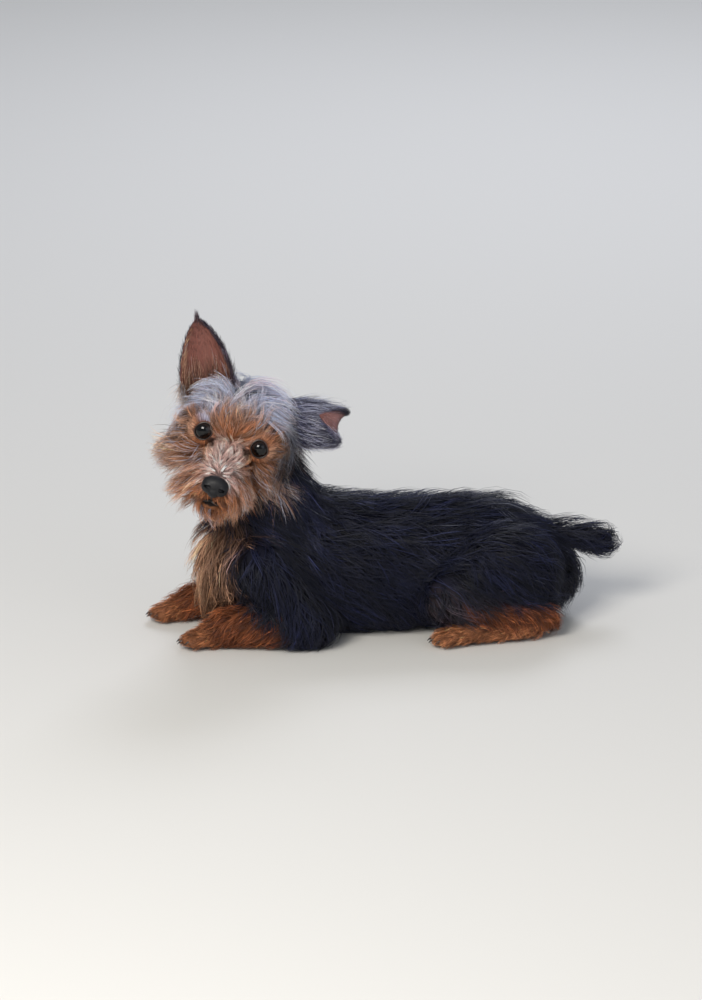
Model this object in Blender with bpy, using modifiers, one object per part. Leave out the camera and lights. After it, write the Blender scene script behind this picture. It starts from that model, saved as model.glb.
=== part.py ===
"""A young yorkshire terrier lying on its chest, head turned to its left and tilted, at life size.

The dog faces -X, its left side faces -Y, and it lies on the plane z = 0. The body is laid out in
centimetres about a point on the floor under the middle of the back. The head is laid out in a frame
of its own: its origin is midway between the eyes, its first axis runs to the dog's left, its second
towards the back of the skull and its third to the crown. Each soft part is a set of balls that are
melted into one skin. A ball has the radii of the body under the coat and the depth of coat over it,
so that one description gives the flesh, the core of the coat and its outline.
"""

import math
import random
from collections import namedtuple

import bmesh
import bpy
from mathutils import Matrix, Vector
from mathutils.bvhtree import BVHTree

CM = 0.01
MM = 0.001
GAP = 0.3 * MM  # between any two parts that touch
TOUCHING = 0.0004 * MM  # edges nearer than this would be taken for one
NUDGE = 0.02 * MM
SHORT_EDGES = (0.03 * MM, 0.015 * MM, 0.006 * MM, 0.002 * MM)
CORE_SHARE = 0.5  # how far through the coat the solid core reaches
SEED = 7

# Driving dimensions, in centimetres.
BODY_COAT = 1.1
NECK_COAT = 0.9
LEG_COAT = 0.65
PAW_COAT = 0.3
TAIL_COAT = 0.95
FACE_COAT = 0.3
CHEEK_COAT = 0.7
CROWN_COAT = 1.0
BACK_HEIGHT = 9.3
LIE = 0.25  # how far the flesh stays off the floor, on the coat that is pressed under it
LEG_SPREAD = 3.8  # of the hind legs, from the middle of the body
PAW_SPREAD = 2.9  # of the front legs
EYE_RADIUS = 0.85
EYE_SIDE = 1.85
EYE_BACK = 0.35
EYE_OUTWARD = math.radians(12)
LID_SLANT = math.radians(8)
LID_THICKNESS = 0.12
LID_OPENING = (0.66, 0.6)  # half its width and half its height
EAR_LENGTH = 5.6
EAR_WIDTH = 3.5
EAR_THICKNESS = 0.17
EAR_FOLD = math.radians(165)
EAR_CUP = (74, 24)  # degrees each side, at the base and at the tip
EAR_ROWS = 12
FOLDED_ROWS = (7, 8, 9)
FRINGE_ROOT = 0.84  # the place of a fringe lock's root across the ear, from its middle to its edge
FRINGE_WIDTH = 0.5
# Each lock of the fringe as (row of the ear, side of it, length).
RIGHT_FRINGE = ((3, 1, 1.7), (5, 1, 1.8), (7, 1, 1.8), (9, 1, 1.7), (10, -1, 1.6))
LEFT_FRINGE = ((2, 1, 1.6), (4, 1, 1.8), (6, 1, 1.9), (3, -1, 1.4), (5, -1, 1.3), (6, -1, 1.2))
FRINGE_THICKNESS = 0.11
EYE_CLEARING = 1.55  # round each eye no long hair grows
GUIDE_VOXEL = 0.22

# The head looks over the dog's left side. Its left eye is the lower one.
HEAD_PLACE = (-11.83, -3.6, 14.52)
HEAD_TURN = math.radians(-16)
HEAD_TILT = math.radians(17)

COLOURS = {
    "black_coat": ((0.010, 0.010, 0.014, 1), 0.55),
    "tan_coat": ((0.33, 0.13, 0.045, 1), 0.65),
    "ear_skin": ((0.25, 0.09, 0.06, 1), 0.6),
    "eye": ((0.012, 0.006, 0.004, 1), 0.05),
    "nose_leather": ((0.012, 0.011, 0.013, 1), 0.35),
}

Ball = namedtuple("Ball", "centre radii coat")

# The locks of each kind of hair, in centimetres. lift is how far the tip stands off the core,
# spacing the distance between roots, hug how closely a lock follows the body (1) or hangs free (0),
# and fall how strongly its weight turns it down.
Hair = namedtuple("Hair", "length width thickness lift spacing hug fall")
HAIR = {
    "torso": Hair(4.6, 1.6, 0.34, 0.44, 1.85, 1.0, 0.0),
    "belly": Hair(3.4, 1.5, 0.30, 0.36, 1.9, 1.0, 0.0),
    "chest": Hair(3.6, 1.25, 0.28, 0.75, 1.6, 0.9, 0.2),
    "neck": Hair(3.6, 1.35, 0.32, 0.40, 1.65, 1.0, 0.0),
    "tail": Hair(2.7, 1.15, 0.34, 0.6, 1.35, 0.85, 0.05),
    "leg": Hair(3.0, 1.05, 0.24, 0.36, 1.75, 0.95, 0.05),
    "crown": Hair(3.2, 0.95, 0.24, 0.55, 1.3, 0.9, 0.0),
    "cheek": Hair(3.0, 0.85, 0.22, 0.75, 1.15, 0.75, 0.25),
    "moustache": Hair(2.7, 0.72, 0.20, 1.0, 0.88, 0.4, 0.25),
    "beard": Hair(2.6, 0.72, 0.20, 1.0, 0.86, 0.3, 0.6),
}
# The share of its length at which a lock has a ring, and the share of its width there.
LYING_LOCK = ((0, 0.32, 0.68, 1), (0.75, 1, 0.66, 0))
FREE_LOCK = ((0, 0.27, 0.52, 0.78, 1), (0.7, 1, 0.85, 0.5, 0))
THINNING = 0.45  # the share of its thickness that a lock loses on the way to its tip
RISE = (-0.2, 1.1)  # the shares of a lock's length between which it leaves the core
TURN = 0.22  # how far a lock may lie off the others' way, in radians
# Where a lock would meet another node it is tried shorter, and turned aside by so much.
TRIES = ((1, 0), (0.85, 0), (0.85, -0.35), (0.85, 0.35), (0.65, 0), (0.5, 0))
SIDE_CLEARANCE = 3 * GAP / CM
FACE_CLEARANCE = 1.3 * GAP / CM
TIP_CLEARANCE = 2 * GAP / CM
LONGEST_REACH = 9  # locks whose roots are farther apart than this can't meet
SINK = 0.22  # how deep a root sits under the core's surface
FLOOR_CLEARANCE = 0.06


def body(x, y, z):
    """A place on the body, from centimetres."""
    return Vector((x, y, z)) * CM


HEAD = (
    Matrix.Translation(body(*HEAD_PLACE))
    @ Matrix.Rotation(HEAD_TURN, 4, "Z")
    @ Matrix.Rotation(HEAD_TILT, 4, "Y")
)


def clear_scene():
    for old in list(bpy.data.objects):
        bpy.data.objects.remove(old)


def collection(name):
    found = bpy.data.collections.new(name)
    bpy.context.scene.collection.children.link(found)
    return found


def material(name):
    made = bpy.data.materials.get(name)
    if made is None:
        colour, roughness = COLOURS[name]
        made = bpy.data.materials.new(name)
        made.use_nodes = True
        shader = made.node_tree.nodes["Principled BSDF"]
        shader.inputs["Base Color"].default_value = colour
        shader.inputs["Roughness"].default_value = roughness
        shader.inputs["Metallic"].default_value = 0.0
    return made


def object_of(bm, name, where):
    mesh = bpy.data.meshes.new(name)
    bm.to_mesh(mesh)
    bm.free()
    obj = bpy.data.objects.new(name, mesh)
    where.objects.link(obj)
    return obj


def settle(obj):
    """Applies the object's modifiers to its mesh."""
    bpy.context.view_layer.update()
    graph = bpy.context.evaluated_depsgraph_get()
    mesh = bpy.data.meshes.new_from_object(obj.evaluated_get(graph))
    obj.modifiers.clear()
    obj.data = mesh
    return obj


def ball(place, radii, coat):
    return Ball(Vector(place), Vector(radii), coat)


def limb(stations, coat, steps=6):
    """Balls along a limb. A station is (place, radius) or (place, three radii)."""
    balls = []
    for (a, a_radius), (b, b_radius) in zip(stations, stations[1:]):
        a_radii, b_radii = three(a_radius), three(b_radius)
        for step in range(steps + 1):
            share = step / steps
            balls.append(ball(Vector(a).lerp(Vector(b), share), a_radii.lerp(b_radii, share), coat))
    return balls


def three(radius):
    return Vector(radius) if isinstance(radius, tuple) else Vector((radius,) * 3)


def mirrored(balls):
    return [Ball(Vector((-b.centre.x, b.centre.y, b.centre.z)), b.radii, b.coat) for b in balls]


def melted(name, balls, where, faces, share=CORE_SHARE, frame=None, voxel=0.2, rounds=8):
    """One smooth closed skin round a set of balls, with about the number of triangles asked for."""
    bm = bmesh.new()
    for b in balls:
        radii = (b.radii + Vector((b.coat,) * 3) * share) * CM
        place = Matrix.Translation(b.centre * CM) @ Matrix.Diagonal((*radii, 1))
        bmesh.ops.create_uvsphere(bm, u_segments=20, v_segments=12, radius=1, matrix=place)
    obj = object_of(bm, name, where)
    remesh = obj.modifiers.new("melt", "REMESH")
    remesh.mode = "VOXEL"
    remesh.voxel_size = voxel * CM
    smooth = obj.modifiers.new("smooth", "SMOOTH")
    smooth.iterations = rounds
    settle(obj)
    if faces:
        thin = obj.modifiers.new("thin", "DECIMATE")
        thin.ratio = min(1.0, faces / (2 * len(obj.data.polygons)))
        settle(obj)
    if frame:
        obj.data.transform(frame)
    return obj


def grown(obj, where, by=GAP):
    """A copy of a closed shape, larger by a gap all round, to cut its neighbours with."""
    copy = bpy.data.objects.new(obj.name + "_grown", obj.data.copy())
    where.objects.link(copy)
    swell = copy.modifiers.new("swell", "DISPLACE")
    swell.strength = by
    swell.mid_level = 0.0
    return settle(copy)


def boolean(obj, tools, operation, solver="MANIFOLD"):
    """Joins or cuts obj with every closed mesh in tools, then removes them."""
    group = bpy.data.collections.new("tools")
    bpy.context.scene.collection.children.link(group)
    for tool in tools:
        for owner in tool.users_collection:
            owner.objects.unlink(tool)
        group.objects.link(tool)
    cut = obj.modifiers.new("join", "BOOLEAN")
    cut.operation = operation
    cut.solver = solver
    cut.operand_type = "COLLECTION"
    cut.collection = group
    settle(obj)
    for tool in tools:
        bpy.data.objects.remove(tool)
    bpy.data.collections.remove(group)
    return obj


def keep_largest(obj):
    """Keeps the largest closed surface of a mesh."""
    bm = bmesh.new()
    bm.from_mesh(obj.data)
    bmesh.ops.triangulate(bm, faces=bm.faces)
    left = set(bm.faces)
    islands = []
    while left:
        island, front = set(), [left.pop()]
        while front:
            face = front.pop()
            island.add(face)
            for edge in face.edges:
                for other in edge.link_faces:
                    if other in left:
                        left.remove(other)
                        front.append(other)
        islands.append(island)
    islands.sort(key=lambda island: sum(face.calc_area() for face in island))
    loose = [face for island in islands[:-1] for face in island]
    bmesh.ops.delete(bm, geom=loose, context="FACES")
    bm.to_mesh(obj.data)
    bm.free()
    return obj


def sound(obj):
    """Whether no edge of the mesh touches another one, to within TOUCHING."""
    bm = bmesh.new()
    bm.from_mesh(obj.data)
    bmesh.ops.remove_doubles(bm, verts=bm.verts, dist=TOUCHING)
    good = all(len(edge.link_faces) == 2 for edge in bm.edges)
    bm.free()
    return good


def collapse_short_edges(obj):
    """Takes out the slivers that a union leaves, where the mesh stays closed without them."""
    whole = obj.data
    for length in SHORT_EDGES:
        bm = bmesh.new()
        bm.from_mesh(whole)
        bmesh.ops.dissolve_degenerate(bm, dist=length, edges=bm.edges)
        bmesh.ops.triangulate(bm, faces=bm.faces)
        obj.data = whole.copy()
        bm.to_mesh(obj.data)
        bm.free()
        if sound(obj):
            return
    obj.data = whole


def rooted(core, locks, where):
    """Joins locks to their core. Where two of them only graze, all are nudged and joined again."""
    bare = core.data
    for _ in range(8):
        copies = []
        for lock in locks:
            copy = bpy.data.objects.new("lock", lock.data.copy())
            where.objects.link(copy)
            nudge = Vector([random.uniform(-NUDGE, NUDGE) for _ in range(3)])
            copy.data.transform(Matrix.Translation(nudge))
            copies.append(copy)
        core.data = bare.copy()
        boolean(core, copies, "UNION")
        keep_largest(core)
        if sound(core):
            break
    for lock in locks:
        bpy.data.objects.remove(lock)
    return core


def floor_box(where):
    bm = bmesh.new()
    side, depth = 80 * CM, 10 * CM
    place = Matrix.Translation((0, 0, -depth / 2)) @ Matrix.Diagonal((side, side, depth, 1))
    bmesh.ops.create_cube(bm, size=1, matrix=place)
    return object_of(bm, "floor", where)


def finish(obj, colour):
    keep_largest(obj)
    collapse_short_edges(obj)
    obj.data.materials.clear()
    obj.data.materials.append(material(colour))
    obj.data.shade_smooth()
    obj.data.set_sharp_from_angle(angle=math.radians(40))
    return obj


def torso_balls():
    """The trunk from the chest to the rump, as (x, half width, top, bottom), and the haunches."""
    back = BACK_HEIGHT - BODY_COAT
    profile = [
        (-11.2, 2.5, 7.8, 1.3),
        (-9.2, 3.3, 8.9, 0.5),
        (-6.0, 3.8, back + 0.9, LIE),
        (-2.0, 3.9, back + 0.1, LIE),
        (3.0, 3.8, back, LIE),
        (6.5, 3.6, 7.6, LIE),
        (9.0, 3.0, 6.4, 0.5),
        (10.3, 2.2, 5.5, 1.4),
    ]
    trunk = []
    for x, half, top, bottom in profile:
        reach = min(2.6, (top - bottom) * 0.3)
        trunk.append(((x, 0, (top + bottom) / 2), (reach, half, (top - bottom) / 2)))
    haunch = [ball((6.4, 3.2, 4.0), (3.3, 1.9, 3.0), BODY_COAT * 0.6)]
    return limb(trunk, BODY_COAT, 8) + haunch + other_side(haunch)


def other_side(balls):
    return [Ball(Vector((b.centre.x, -b.centre.y, b.centre.z)), b.radii, b.coat) for b in balls]


def neck_balls():
    stations = [((-7.8, 0, 6.6), 3.2), ((-9.6, 0.2, 9.6), 2.9), ((-10.9, 0.9, 12.7), 2.5)]
    return limb(stations, NECK_COAT)


def front_leg_balls(side, reach):
    """side is -1 for the dog's left leg, and reach moves the paw forward."""
    y = side * PAW_SPREAD
    shoulder = ((-9.8, side * 2.9, 5.2), 1.8)
    elbow = ((-6.6, side * 3.9, 1.35 + LIE), 1.35)
    middle = ((-9.4, side * 3.6, 1.35 + LIE), (1.2, 1.2, 1.35))
    wrist = ((-12.3 - reach, y, 1.1 + LIE), (1.0, 0.95, 1.1))
    toes = ((-14.1 - reach, y, 0.9), (1.1, 1.15, 0.85))
    upper = limb([shoulder, elbow], LEG_COAT)
    lower = limb([elbow, middle, wrist], LEG_COAT)
    paw = limb([wrist, toes], PAW_COAT, 4)
    return upper + lower + paw


def hind_leg_balls(side):
    y = side * LEG_SPREAD
    stifle = (2.7, y * 1.16, 3.1)
    hock = (8.9, y * 1.22, 1.3)
    thigh = limb([((6.0, y * 0.9, 4.2), (2.6, 1.5, 2.4)), (stifle, (1.6, 1.35, 1.6))], LEG_COAT)
    shank = limb([(stifle, 1.35), ((5.5, y * 1.24, 2.0), 1.2), (hock, 0.85)], LEG_COAT)
    foot = limb([(hock, 0.8), ((7.0, y * 1.32, 0.85), 0.75), ((3.6, y * 1.4, 0.8), 0.7)], PAW_COAT)
    toes = limb([((3.6, y * 1.4, 0.8), 0.75), ((2.2, y * 1.4, 0.8), (1.0, 1.0, 0.75))], PAW_COAT, 4)
    return thigh + shank + foot + toes


def tail_balls():
    return limb([((10.2, 0, 5.2), 0.75), ((12.0, 0, 5.3), 0.6), ((13.5, 0, 5.0), 0.5)], TAIL_COAT)


def head_balls():
    cheek = [ball((2.1, 2.0, -1.3), (1.2, 1.9, 1.4), CHEEK_COAT)]
    lips = [
        ball((0.5, -2.6, -2.55), (0.75, 0.95, 0.75), FACE_COAT),
        ball((0.8, -1.2, -2.5), (0.9, 1.4, 0.8), FACE_COAT),
    ]
    socket = [ball((2.0, 1.2, 0.0), (1.45, 1.3, 1.35), FACE_COAT)]
    muzzle = [
        ball((0, -0.6, -1.5), (1.5, 1.5, 1.3), FACE_COAT),
        ball((0, -2.0, -1.95), (1.1, 1.2, 0.95), FACE_COAT),
        ball((0, -3.0, -2.1), (0.85, 0.85, 0.75), FACE_COAT),
    ]
    jaw = limb([((0, -2.2, -3.5), (0.75, 0.65, 0.5)), ((0, 1.0, -3.0), (1.3, 1.0, 1.0))], FACE_COAT)
    skull = [
        ball((0, 3.3, 0.5), (2.75, 3.1, 2.3), CROWN_COAT),
        ball((0, 1.2, 0.7), (2.2, 1.8, 1.4), FACE_COAT),
        ball((0, 3.4, -1.6), (2.2, 2.4, 1.8), CHEEK_COAT),
    ]
    pairs = cheek + socket + lips
    return skull + pairs + mirrored(pairs) + muzzle + jaw


def beard_balls():
    """The core under the moustache, the beard and the cheeks' hair, half way to their tips."""
    side = [
        ball((1.9, 0.3, -2.1), (1.1, 1.2, 1.05), 0),
        ball((2.4, 1.9, -1.5), (1.3, 1.5, 1.5), 0),
    ]
    return side + mirrored(side) + [ball((0.4, -0.3, -3.3), (1.4, 1.2, 1.0), 0)]


def mouth(where):
    """The cutter for the line of the mouth, between the lips and the lower jaw."""
    half = [
        ((0, -3.3, -3.05), 0.1),
        ((0.5, -3.2, -3.3), 0.1),
        ((1.1, -2.4, -3.3), 0.1),
        ((1.6, -0.8, -3.05), 0.1),
    ]
    line = limb(half, 0, 10)
    return melted("mouth", line + mirrored(line), where, 160, 0, HEAD, voxel=0.05, rounds=2)


def nose_balls():
    return [
        ball((0, -3.75, -2.05), (0.78, 0.52, 0.58), 0),
        ball((0.36, -3.85, -2.15), (0.46, 0.45, 0.45), 0),
        ball((-0.36, -3.85, -2.15), (0.46, 0.45, 0.45), 0),
        ball((0, -3.9, -2.35), (0.42, 0.42, 0.42), 0),
    ]


def nostril(side, where):
    balls = limb(
        [((0.34 * side, -4.38, -2.12), 0.15), ((0.66 * side, -4.12, -2.2), 0.09)], 0, 4
    )
    return melted("nostril", balls, where, 90, 0, HEAD, voxel=0.03, rounds=2)


def eye(side, where):
    bm = bmesh.new()
    place = Matrix.Translation(Vector((side * EYE_SIDE, EYE_BACK, 0)) * CM)
    turn = Matrix.Rotation(math.radians(90), 4, "X")
    bmesh.ops.create_uvsphere(
        bm, u_segments=16, v_segments=9, radius=EYE_RADIUS * CM, matrix=HEAD @ place @ turn
    )
    name = "eye_left" if side > 0 else "eye_right"
    return object_of(bm, name, where)


def lids(side, where):
    """The lids as a thin ball round the eye, and the cutter that opens them."""
    place = Matrix.Translation(Vector((side * EYE_SIDE, EYE_BACK, 0)) * CM)
    bm = bmesh.new()
    radius = (EYE_RADIUS + LID_THICKNESS) * CM
    bmesh.ops.create_uvsphere(bm, u_segments=14, v_segments=9, radius=radius, matrix=HEAD @ place)
    skin = object_of(bm, "lids", where)
    bm = bmesh.new()
    look = Matrix.Rotation(side * EYE_OUTWARD, 4, "Z") @ Matrix.Rotation(-side * LID_SLANT, 4, "Y")
    ahead = Matrix.Translation(Vector((0, -EYE_RADIUS, 0)) * CM)
    size = Matrix.Diagonal((LID_OPENING[0] * CM, EYE_RADIUS * CM, LID_OPENING[1] * CM, 1))
    bmesh.ops.create_uvsphere(
        bm, u_segments=16, v_segments=10, radius=1, matrix=HEAD @ place @ look @ ahead @ size
    )
    return skin, object_of(bm, "lid_opening", where)


Sheet = namedtuple("Sheet", "width lines")


def ear_sheet(width, base, along, hollow, fold):
    """The middle line of an ear, as (place, along, hollow) rows. fold bends its end back."""
    along = Vector(along).normalized()
    hollow = Vector(hollow)
    hollow = (hollow - along * hollow.dot(along)).normalized()
    across = along.cross(hollow)
    centre, lines = Vector(base), []
    for row in range(EAR_ROWS + 1):
        if row in FOLDED_ROWS:
            turn = Matrix.Rotation(fold / len(FOLDED_ROWS), 3, across)
            along, hollow = turn @ along, turn @ hollow
        lines.append((centre.copy(), along.copy(), hollow.copy()))
        centre += along * EAR_LENGTH / EAR_ROWS
    return Sheet(width, lines)


def on_ear(sheet, row, across_share):
    """A place on the ear, its outward direction along the sheet and its inner normal."""
    middle, along, hollow = sheet.lines[row]
    share = row / EAR_ROWS
    cup = math.radians(EAR_CUP[0] + (EAR_CUP[1] - EAR_CUP[0]) * share)
    radius = sheet.width / 2 * ear_breadth(share) / math.sin(cup)
    angle = across_share * cup
    across = along.cross(hollow)
    place = middle + across * radius * math.sin(angle) + hollow * radius * (1 - math.cos(angle))
    outward = across * math.cos(angle) + hollow * math.sin(angle)
    normal = hollow * math.cos(angle) - across * math.sin(angle)
    return place, outward * (1 if across_share > 0 else -1), normal


def ear_breadth(share):
    """The ear's breadth at a share of its length: full to the middle, then drawn in to the tip."""
    root = 0.82 + 0.18 * min(share / 0.35, 1)
    return root * max(1 - share**4, 0.03) ** 1.2 + 0.02


def ear(name, sheet, where):
    """A pointed, cupped sheet."""
    columns = 6
    bm = bmesh.new()
    bmesh.ops.create_grid(bm, x_segments=columns, y_segments=EAR_ROWS, size=1)
    bm.verts.ensure_lookup_table()
    for index, vert in enumerate(bm.verts):
        row, column = divmod(index, columns + 1)
        vert.co = HEAD @ (on_ear(sheet, row, 2 * column / columns - 1)[0] * CM)
    obj = object_of(bm, name, where)
    shell = obj.modifiers.new("thickness", "SOLIDIFY")
    shell.thickness = EAR_THICKNESS * CM
    shell.offset = 0
    shell.use_even_offset = False
    return settle(obj)


def ear_fringe(sheet, places, where):
    """Locks out of the edge of an ear, in the plane of its leather, at (row, side, length)."""
    made = []
    turn = HEAD.to_3x3()
    for row, side, length in places:
        place, outward, normal = on_ear(sheet, row, side * FRINGE_ROOT)
        above = on_ear(sheet, row + 1, side * FRINGE_ROOT)[0]
        going = (outward * 0.3 + (above - place).normalized()).normalized()
        reach = length * CM * random.uniform(0.9, 1.1)
        start = HEAD @ (place * CM)
        ahead, up = turn @ going, turn @ normal
        across = ahead.cross(up)
        sway = across * side * reach * random.uniform(-0.05, 0.1)
        rings = []
        for t in (0, 0.35, 0.7):
            centre = start + ahead * reach * t + sway * t * t
            thick = FRINGE_THICKNESS * CM * (1 - THINNING * t)
            rings.append((centre, across, up, FRINGE_WIDTH * CM * (1 - 0.6 * t), thick))
        made.append(lock_object(rings, start + ahead * reach + sway, where))
    return made


def ear_sheets():
    """The dog's right ear stands, and its left one lies out to the side with the tip folded over."""
    upright = ear_sheet(EAR_WIDTH, (-2.35, 3.7, 0.9), (-0.41, -0.02, 0.91), (0.1, -0.95, 0.2), 0)
    sideways = ear_sheet(
        EAR_WIDTH * 0.82, (2.55, 3.7, 1.75), (0.99, 0.0, 0.02), (0.1, 0.8, -0.6), -EAR_FOLD
    )
    return upright, sideways


def smooth(low, high, value):
    share = min(max((value - low) / (high - low), 0), 1)
    return share * share * (3 - 2 * share)


def flow(kind, place, normal):
    """The way the hair lies at a place, as a direction that need not follow the surface."""
    if kind in ("crown", "cheek", "moustache", "beard"):
        return head_flow(kind, place)
    x, side = place.x / CM, abs(normal.y)
    if kind == "tail":
        return (Vector((1, 0, -0.15)) + normal * 0.25).normalized()
    if kind == "leg":
        ahead = -1 if x < -3 else 1
        return Vector((ahead * 0.75, 0, -0.65))
    if kind == "neck":
        return Vector((0.7, normal.y * 0.2, -0.75))
    chest = 1 - smooth(-12.5, -8.5, x)
    rump = smooth(7, 11, x)
    return Vector((1 - 0.95 * chest, 0, -0.1 - 0.65 * side - 1.2 * chest - 0.5 * rump))


def head_flow(kind, place):
    """Hair on a head runs away from the nose, and the longer it is the more it hangs."""
    local = HEAD.inverted() @ place / CM
    away = (local - Vector((0, -3.4, -1.4))).normalized()
    away.x *= 1.5
    if kind == "crown":
        away.x += 0.35 if local.x > 0 else -0.35
    hang = {"crown": 0.0, "cheek": 0.45, "moustache": 0.5, "beard": 1.3}[kind]
    return HEAD.to_3x3() @ away.normalized() + Vector((0, 0, -hang))


def hair_at(place, normal, node):
    """The kind of hair that grows at a place on a node, or None."""
    x, z = place.x / CM, place.z / CM
    if node in ("neck", "tail"):
        return node
    if node == "torso":
        if x < -11.5:
            return "chest" if z > 1.2 else None
        if z < 1.8:
            return None
        return "belly" if z < 3.4 else "torso"
    if node.startswith("leg_front"):
        return "leg" if z > 1.9 and x > -12.5 and normal.z > -0.3 else None
    if node.startswith("leg_hind"):
        return "leg" if z > 1.9 and normal.z > -0.3 else None
    local = HEAD.inverted() @ place / CM
    for side in (-1, 1):
        if (local - Vector((side * EYE_SIDE, -0.3, 0))).length < EYE_CLEARING:
            return None
    if local.z > 1.3 or local.y > 3.6:
        return "crown" if local.y > 0.3 else None
    if local.y < 0.9 and local.z > -1.7:
        return None
    if local.z < -2.9 and local.y < 1.6 and local.y > -2.6:
        return "beard"
    if local.y < 0.9:
        return "moustache" if abs(local.x) > 1.0 and local.y > -2.4 else None
    return "cheek"


def lock_object(rings, tip, where):
    """A closed lock of lens section through rings of (centre, across, up, width, thickness)."""
    bm = bmesh.new()
    loops = []
    for centre, across, up, width, thickness in rings:
        corners = (across * width / 2, up * thickness / 2, -across * width / 2, -up * thickness / 2)
        loops.append([bm.verts.new(centre + corner) for corner in corners])
    for first, second in zip(loops, loops[1:]):
        for i in range(4):
            j = (i + 1) % 4
            bm.faces.new((first[i], first[j], second[j], second[i]))
    bm.faces.new(loops[0][::-1])
    end = bm.verts.new(tip)
    for i in range(4):
        bm.faces.new((loops[-1][i], loops[-1][(i + 1) % 4], end))
    bmesh.ops.triangulate(bm, faces=bm.faces)
    bmesh.ops.recalc_face_normals(bm, faces=bm.faces)
    return object_of(bm, "lock", where)


def lock_rings(root, kind, guide, reach, turn):
    """The rings and the tip of a lock that starts at root and follows the lie of the coat."""
    hair = HAIR[kind]
    length = hair.length * reach * CM
    shares, widths = (FREE_LOCK if hair.hug < 0.8 else LYING_LOCK)
    place, normal, _, _ = guide.find_nearest(root)
    rings = []
    last = 0
    for share, wide in zip(shares, widths):
        if share:
            going = flow(kind, place, normal)
            going = Matrix.Rotation(turn, 3, normal) @ going
            going -= normal * going.dot(normal) * hair.hug
            going = going.normalized() + Vector((0, 0, -hair.fall * share))
            ahead = place + going.normalized() * length * (share - last)
            surface, normal, _, _ = guide.find_nearest(ahead)
            lifted = surface + normal * hair.lift * CM * smooth(*RISE, share)
            new_place = ahead.lerp(lifted, hair.hug)
            heading = (new_place - place).normalized()
            place, last = new_place, share
            centre = place
        else:
            heading = flow(kind, place, normal)
            heading = (heading - normal * heading.dot(normal)).normalized()
            centre = place - normal * SINK * CM
        across = heading.cross(normal).normalized()
        up = across.cross(heading).normalized()
        thickness = hair.thickness * (1 - THINNING * share) * CM
        half = abs(up.z) * thickness / 2 + abs(across.z) * hair.width * wide / 2 * CM
        if share:
            centre = centre + Vector((0, 0, max(0, FLOOR_CLEARANCE * CM + half - centre.z)))
        rings.append((centre, across, up, hair.width * wide * CM, thickness))
    tip = rings.pop()[0]
    return rings, tip


def tree_of(obj):
    bm = bmesh.new()
    bm.from_mesh(obj.data)
    tree = BVHTree.FromBMesh(bm)
    bm.free()
    return tree


def wider(rings, tip):
    """The same lock with the clearance added that it must keep from another node."""
    grown_rings = [
        (centre, across, up, width + 2 * SIDE_CLEARANCE * CM, thickness + 2 * FACE_CLEARANCE * CM)
        for centre, across, up, width, thickness in rings
    ]
    return grown_rings, tip + (tip - rings[-1][0]).normalized() * TIP_CLEARANCE * CM


def roots(guide_obj, spacing_of):
    """Seeded places on the guide, each as far from the others as its kind of hair asks."""
    mesh = guide_obj.data
    faces = list(mesh.polygons)
    areas = [face.area for face in faces]
    total = sum(areas)
    tries = int(total / (0.12 * CM) ** 2)
    taken = []
    cells = {}
    side = max(hair.spacing for hair in HAIR.values()) * CM
    for face in random.choices(faces, weights=areas, k=tries):
        place = face.center.copy()
        node, kind = spacing_of(place, face.normal)
        if kind is None:
            continue
        gap = HAIR[kind].spacing * CM
        cell = tuple(int(value // side) for value in place)
        near = (
            cells.get((cell[0] + i, cell[1] + j, cell[2] + k), ())
            for i in (-1, 0, 1)
            for j in (-1, 0, 1)
            for k in (-1, 0, 1)
        )
        if all((place - other).length > gap for group in near for other in group):
            cells.setdefault(cell, []).append(place)
            taken.append((node, kind, place))
    return taken


def coat(cores, others, where):
    """Locks for every node of cores. No lock comes near another node or its locks."""
    joined = bmesh.new()
    for core in cores.values():
        joined.from_mesh(core.data)
    guide_obj = object_of(joined, "guide", where)
    remesh = guide_obj.modifiers.new("melt", "REMESH")
    remesh.mode = "VOXEL"
    remesh.voxel_size = GUIDE_VOXEL * CM
    soft = guide_obj.modifiers.new("smooth", "SMOOTH")
    soft.iterations = 8
    settle(guide_obj)
    guide = tree_of(guide_obj)
    trees = {name: tree_of(obj) for name, obj in list(cores.items()) + list(others.items())}

    def owner(place, normal):
        inner = place - normal * SINK * CM / 2
        node = min(cores, key=lambda name: trees[name].find_nearest(inner)[3])
        return node, hair_at(place, normal, node)

    placed = roots(guide_obj, owner)
    bpy.data.objects.remove(guide_obj)
    order = list(cores)
    placed.sort(key=lambda one: order.index(one[0]))
    made = {name: [] for name in cores}
    kept = []
    dropped = 0
    for node, kind, root in placed:
        turn = random.uniform(-TURN, TURN)
        size = random.uniform(0.85, 1.15)
        for reach, bend in TRIES:
            rings, tip = lock_rings(root, kind, guide, size * reach, turn + bend)
            probe_obj = lock_object(*wider(rings, tip), where)
            probe = tree_of(probe_obj)
            bpy.data.objects.remove(probe_obj)
            blocked = any(tree.overlap(probe) for name, tree in trees.items() if name != node)
            blocked = blocked or any(
                (root - there).length < LONGEST_REACH * CM and tree.overlap(probe)
                for name, there, tree in kept
                if name != node
            )
            if not blocked:
                break
        if blocked:
            dropped += 1
            continue
        lock = lock_object(rings, tip, where)
        kept.append((node, root, tree_of(lock)))
        made[node].append(lock)
    print("locks", {name: len(locks) for name, locks in made.items()}, "left out", dropped)
    return made


def settle_origin(objects):
    """Moves everything so that the middle of the underside of the whole box is the origin."""
    places = [v.co for obj in objects for v in obj.data.vertices]
    low = [min(p[axis] for p in places) for axis in range(3)]
    high = [max(p[axis] for p in places) for axis in range(3)]
    shift = Vector((-(low[0] + high[0]) / 2, -(low[1] + high[1]) / 2, -low[2]))
    for obj in objects:
        obj.data.transform(Matrix.Translation(shift))


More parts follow.
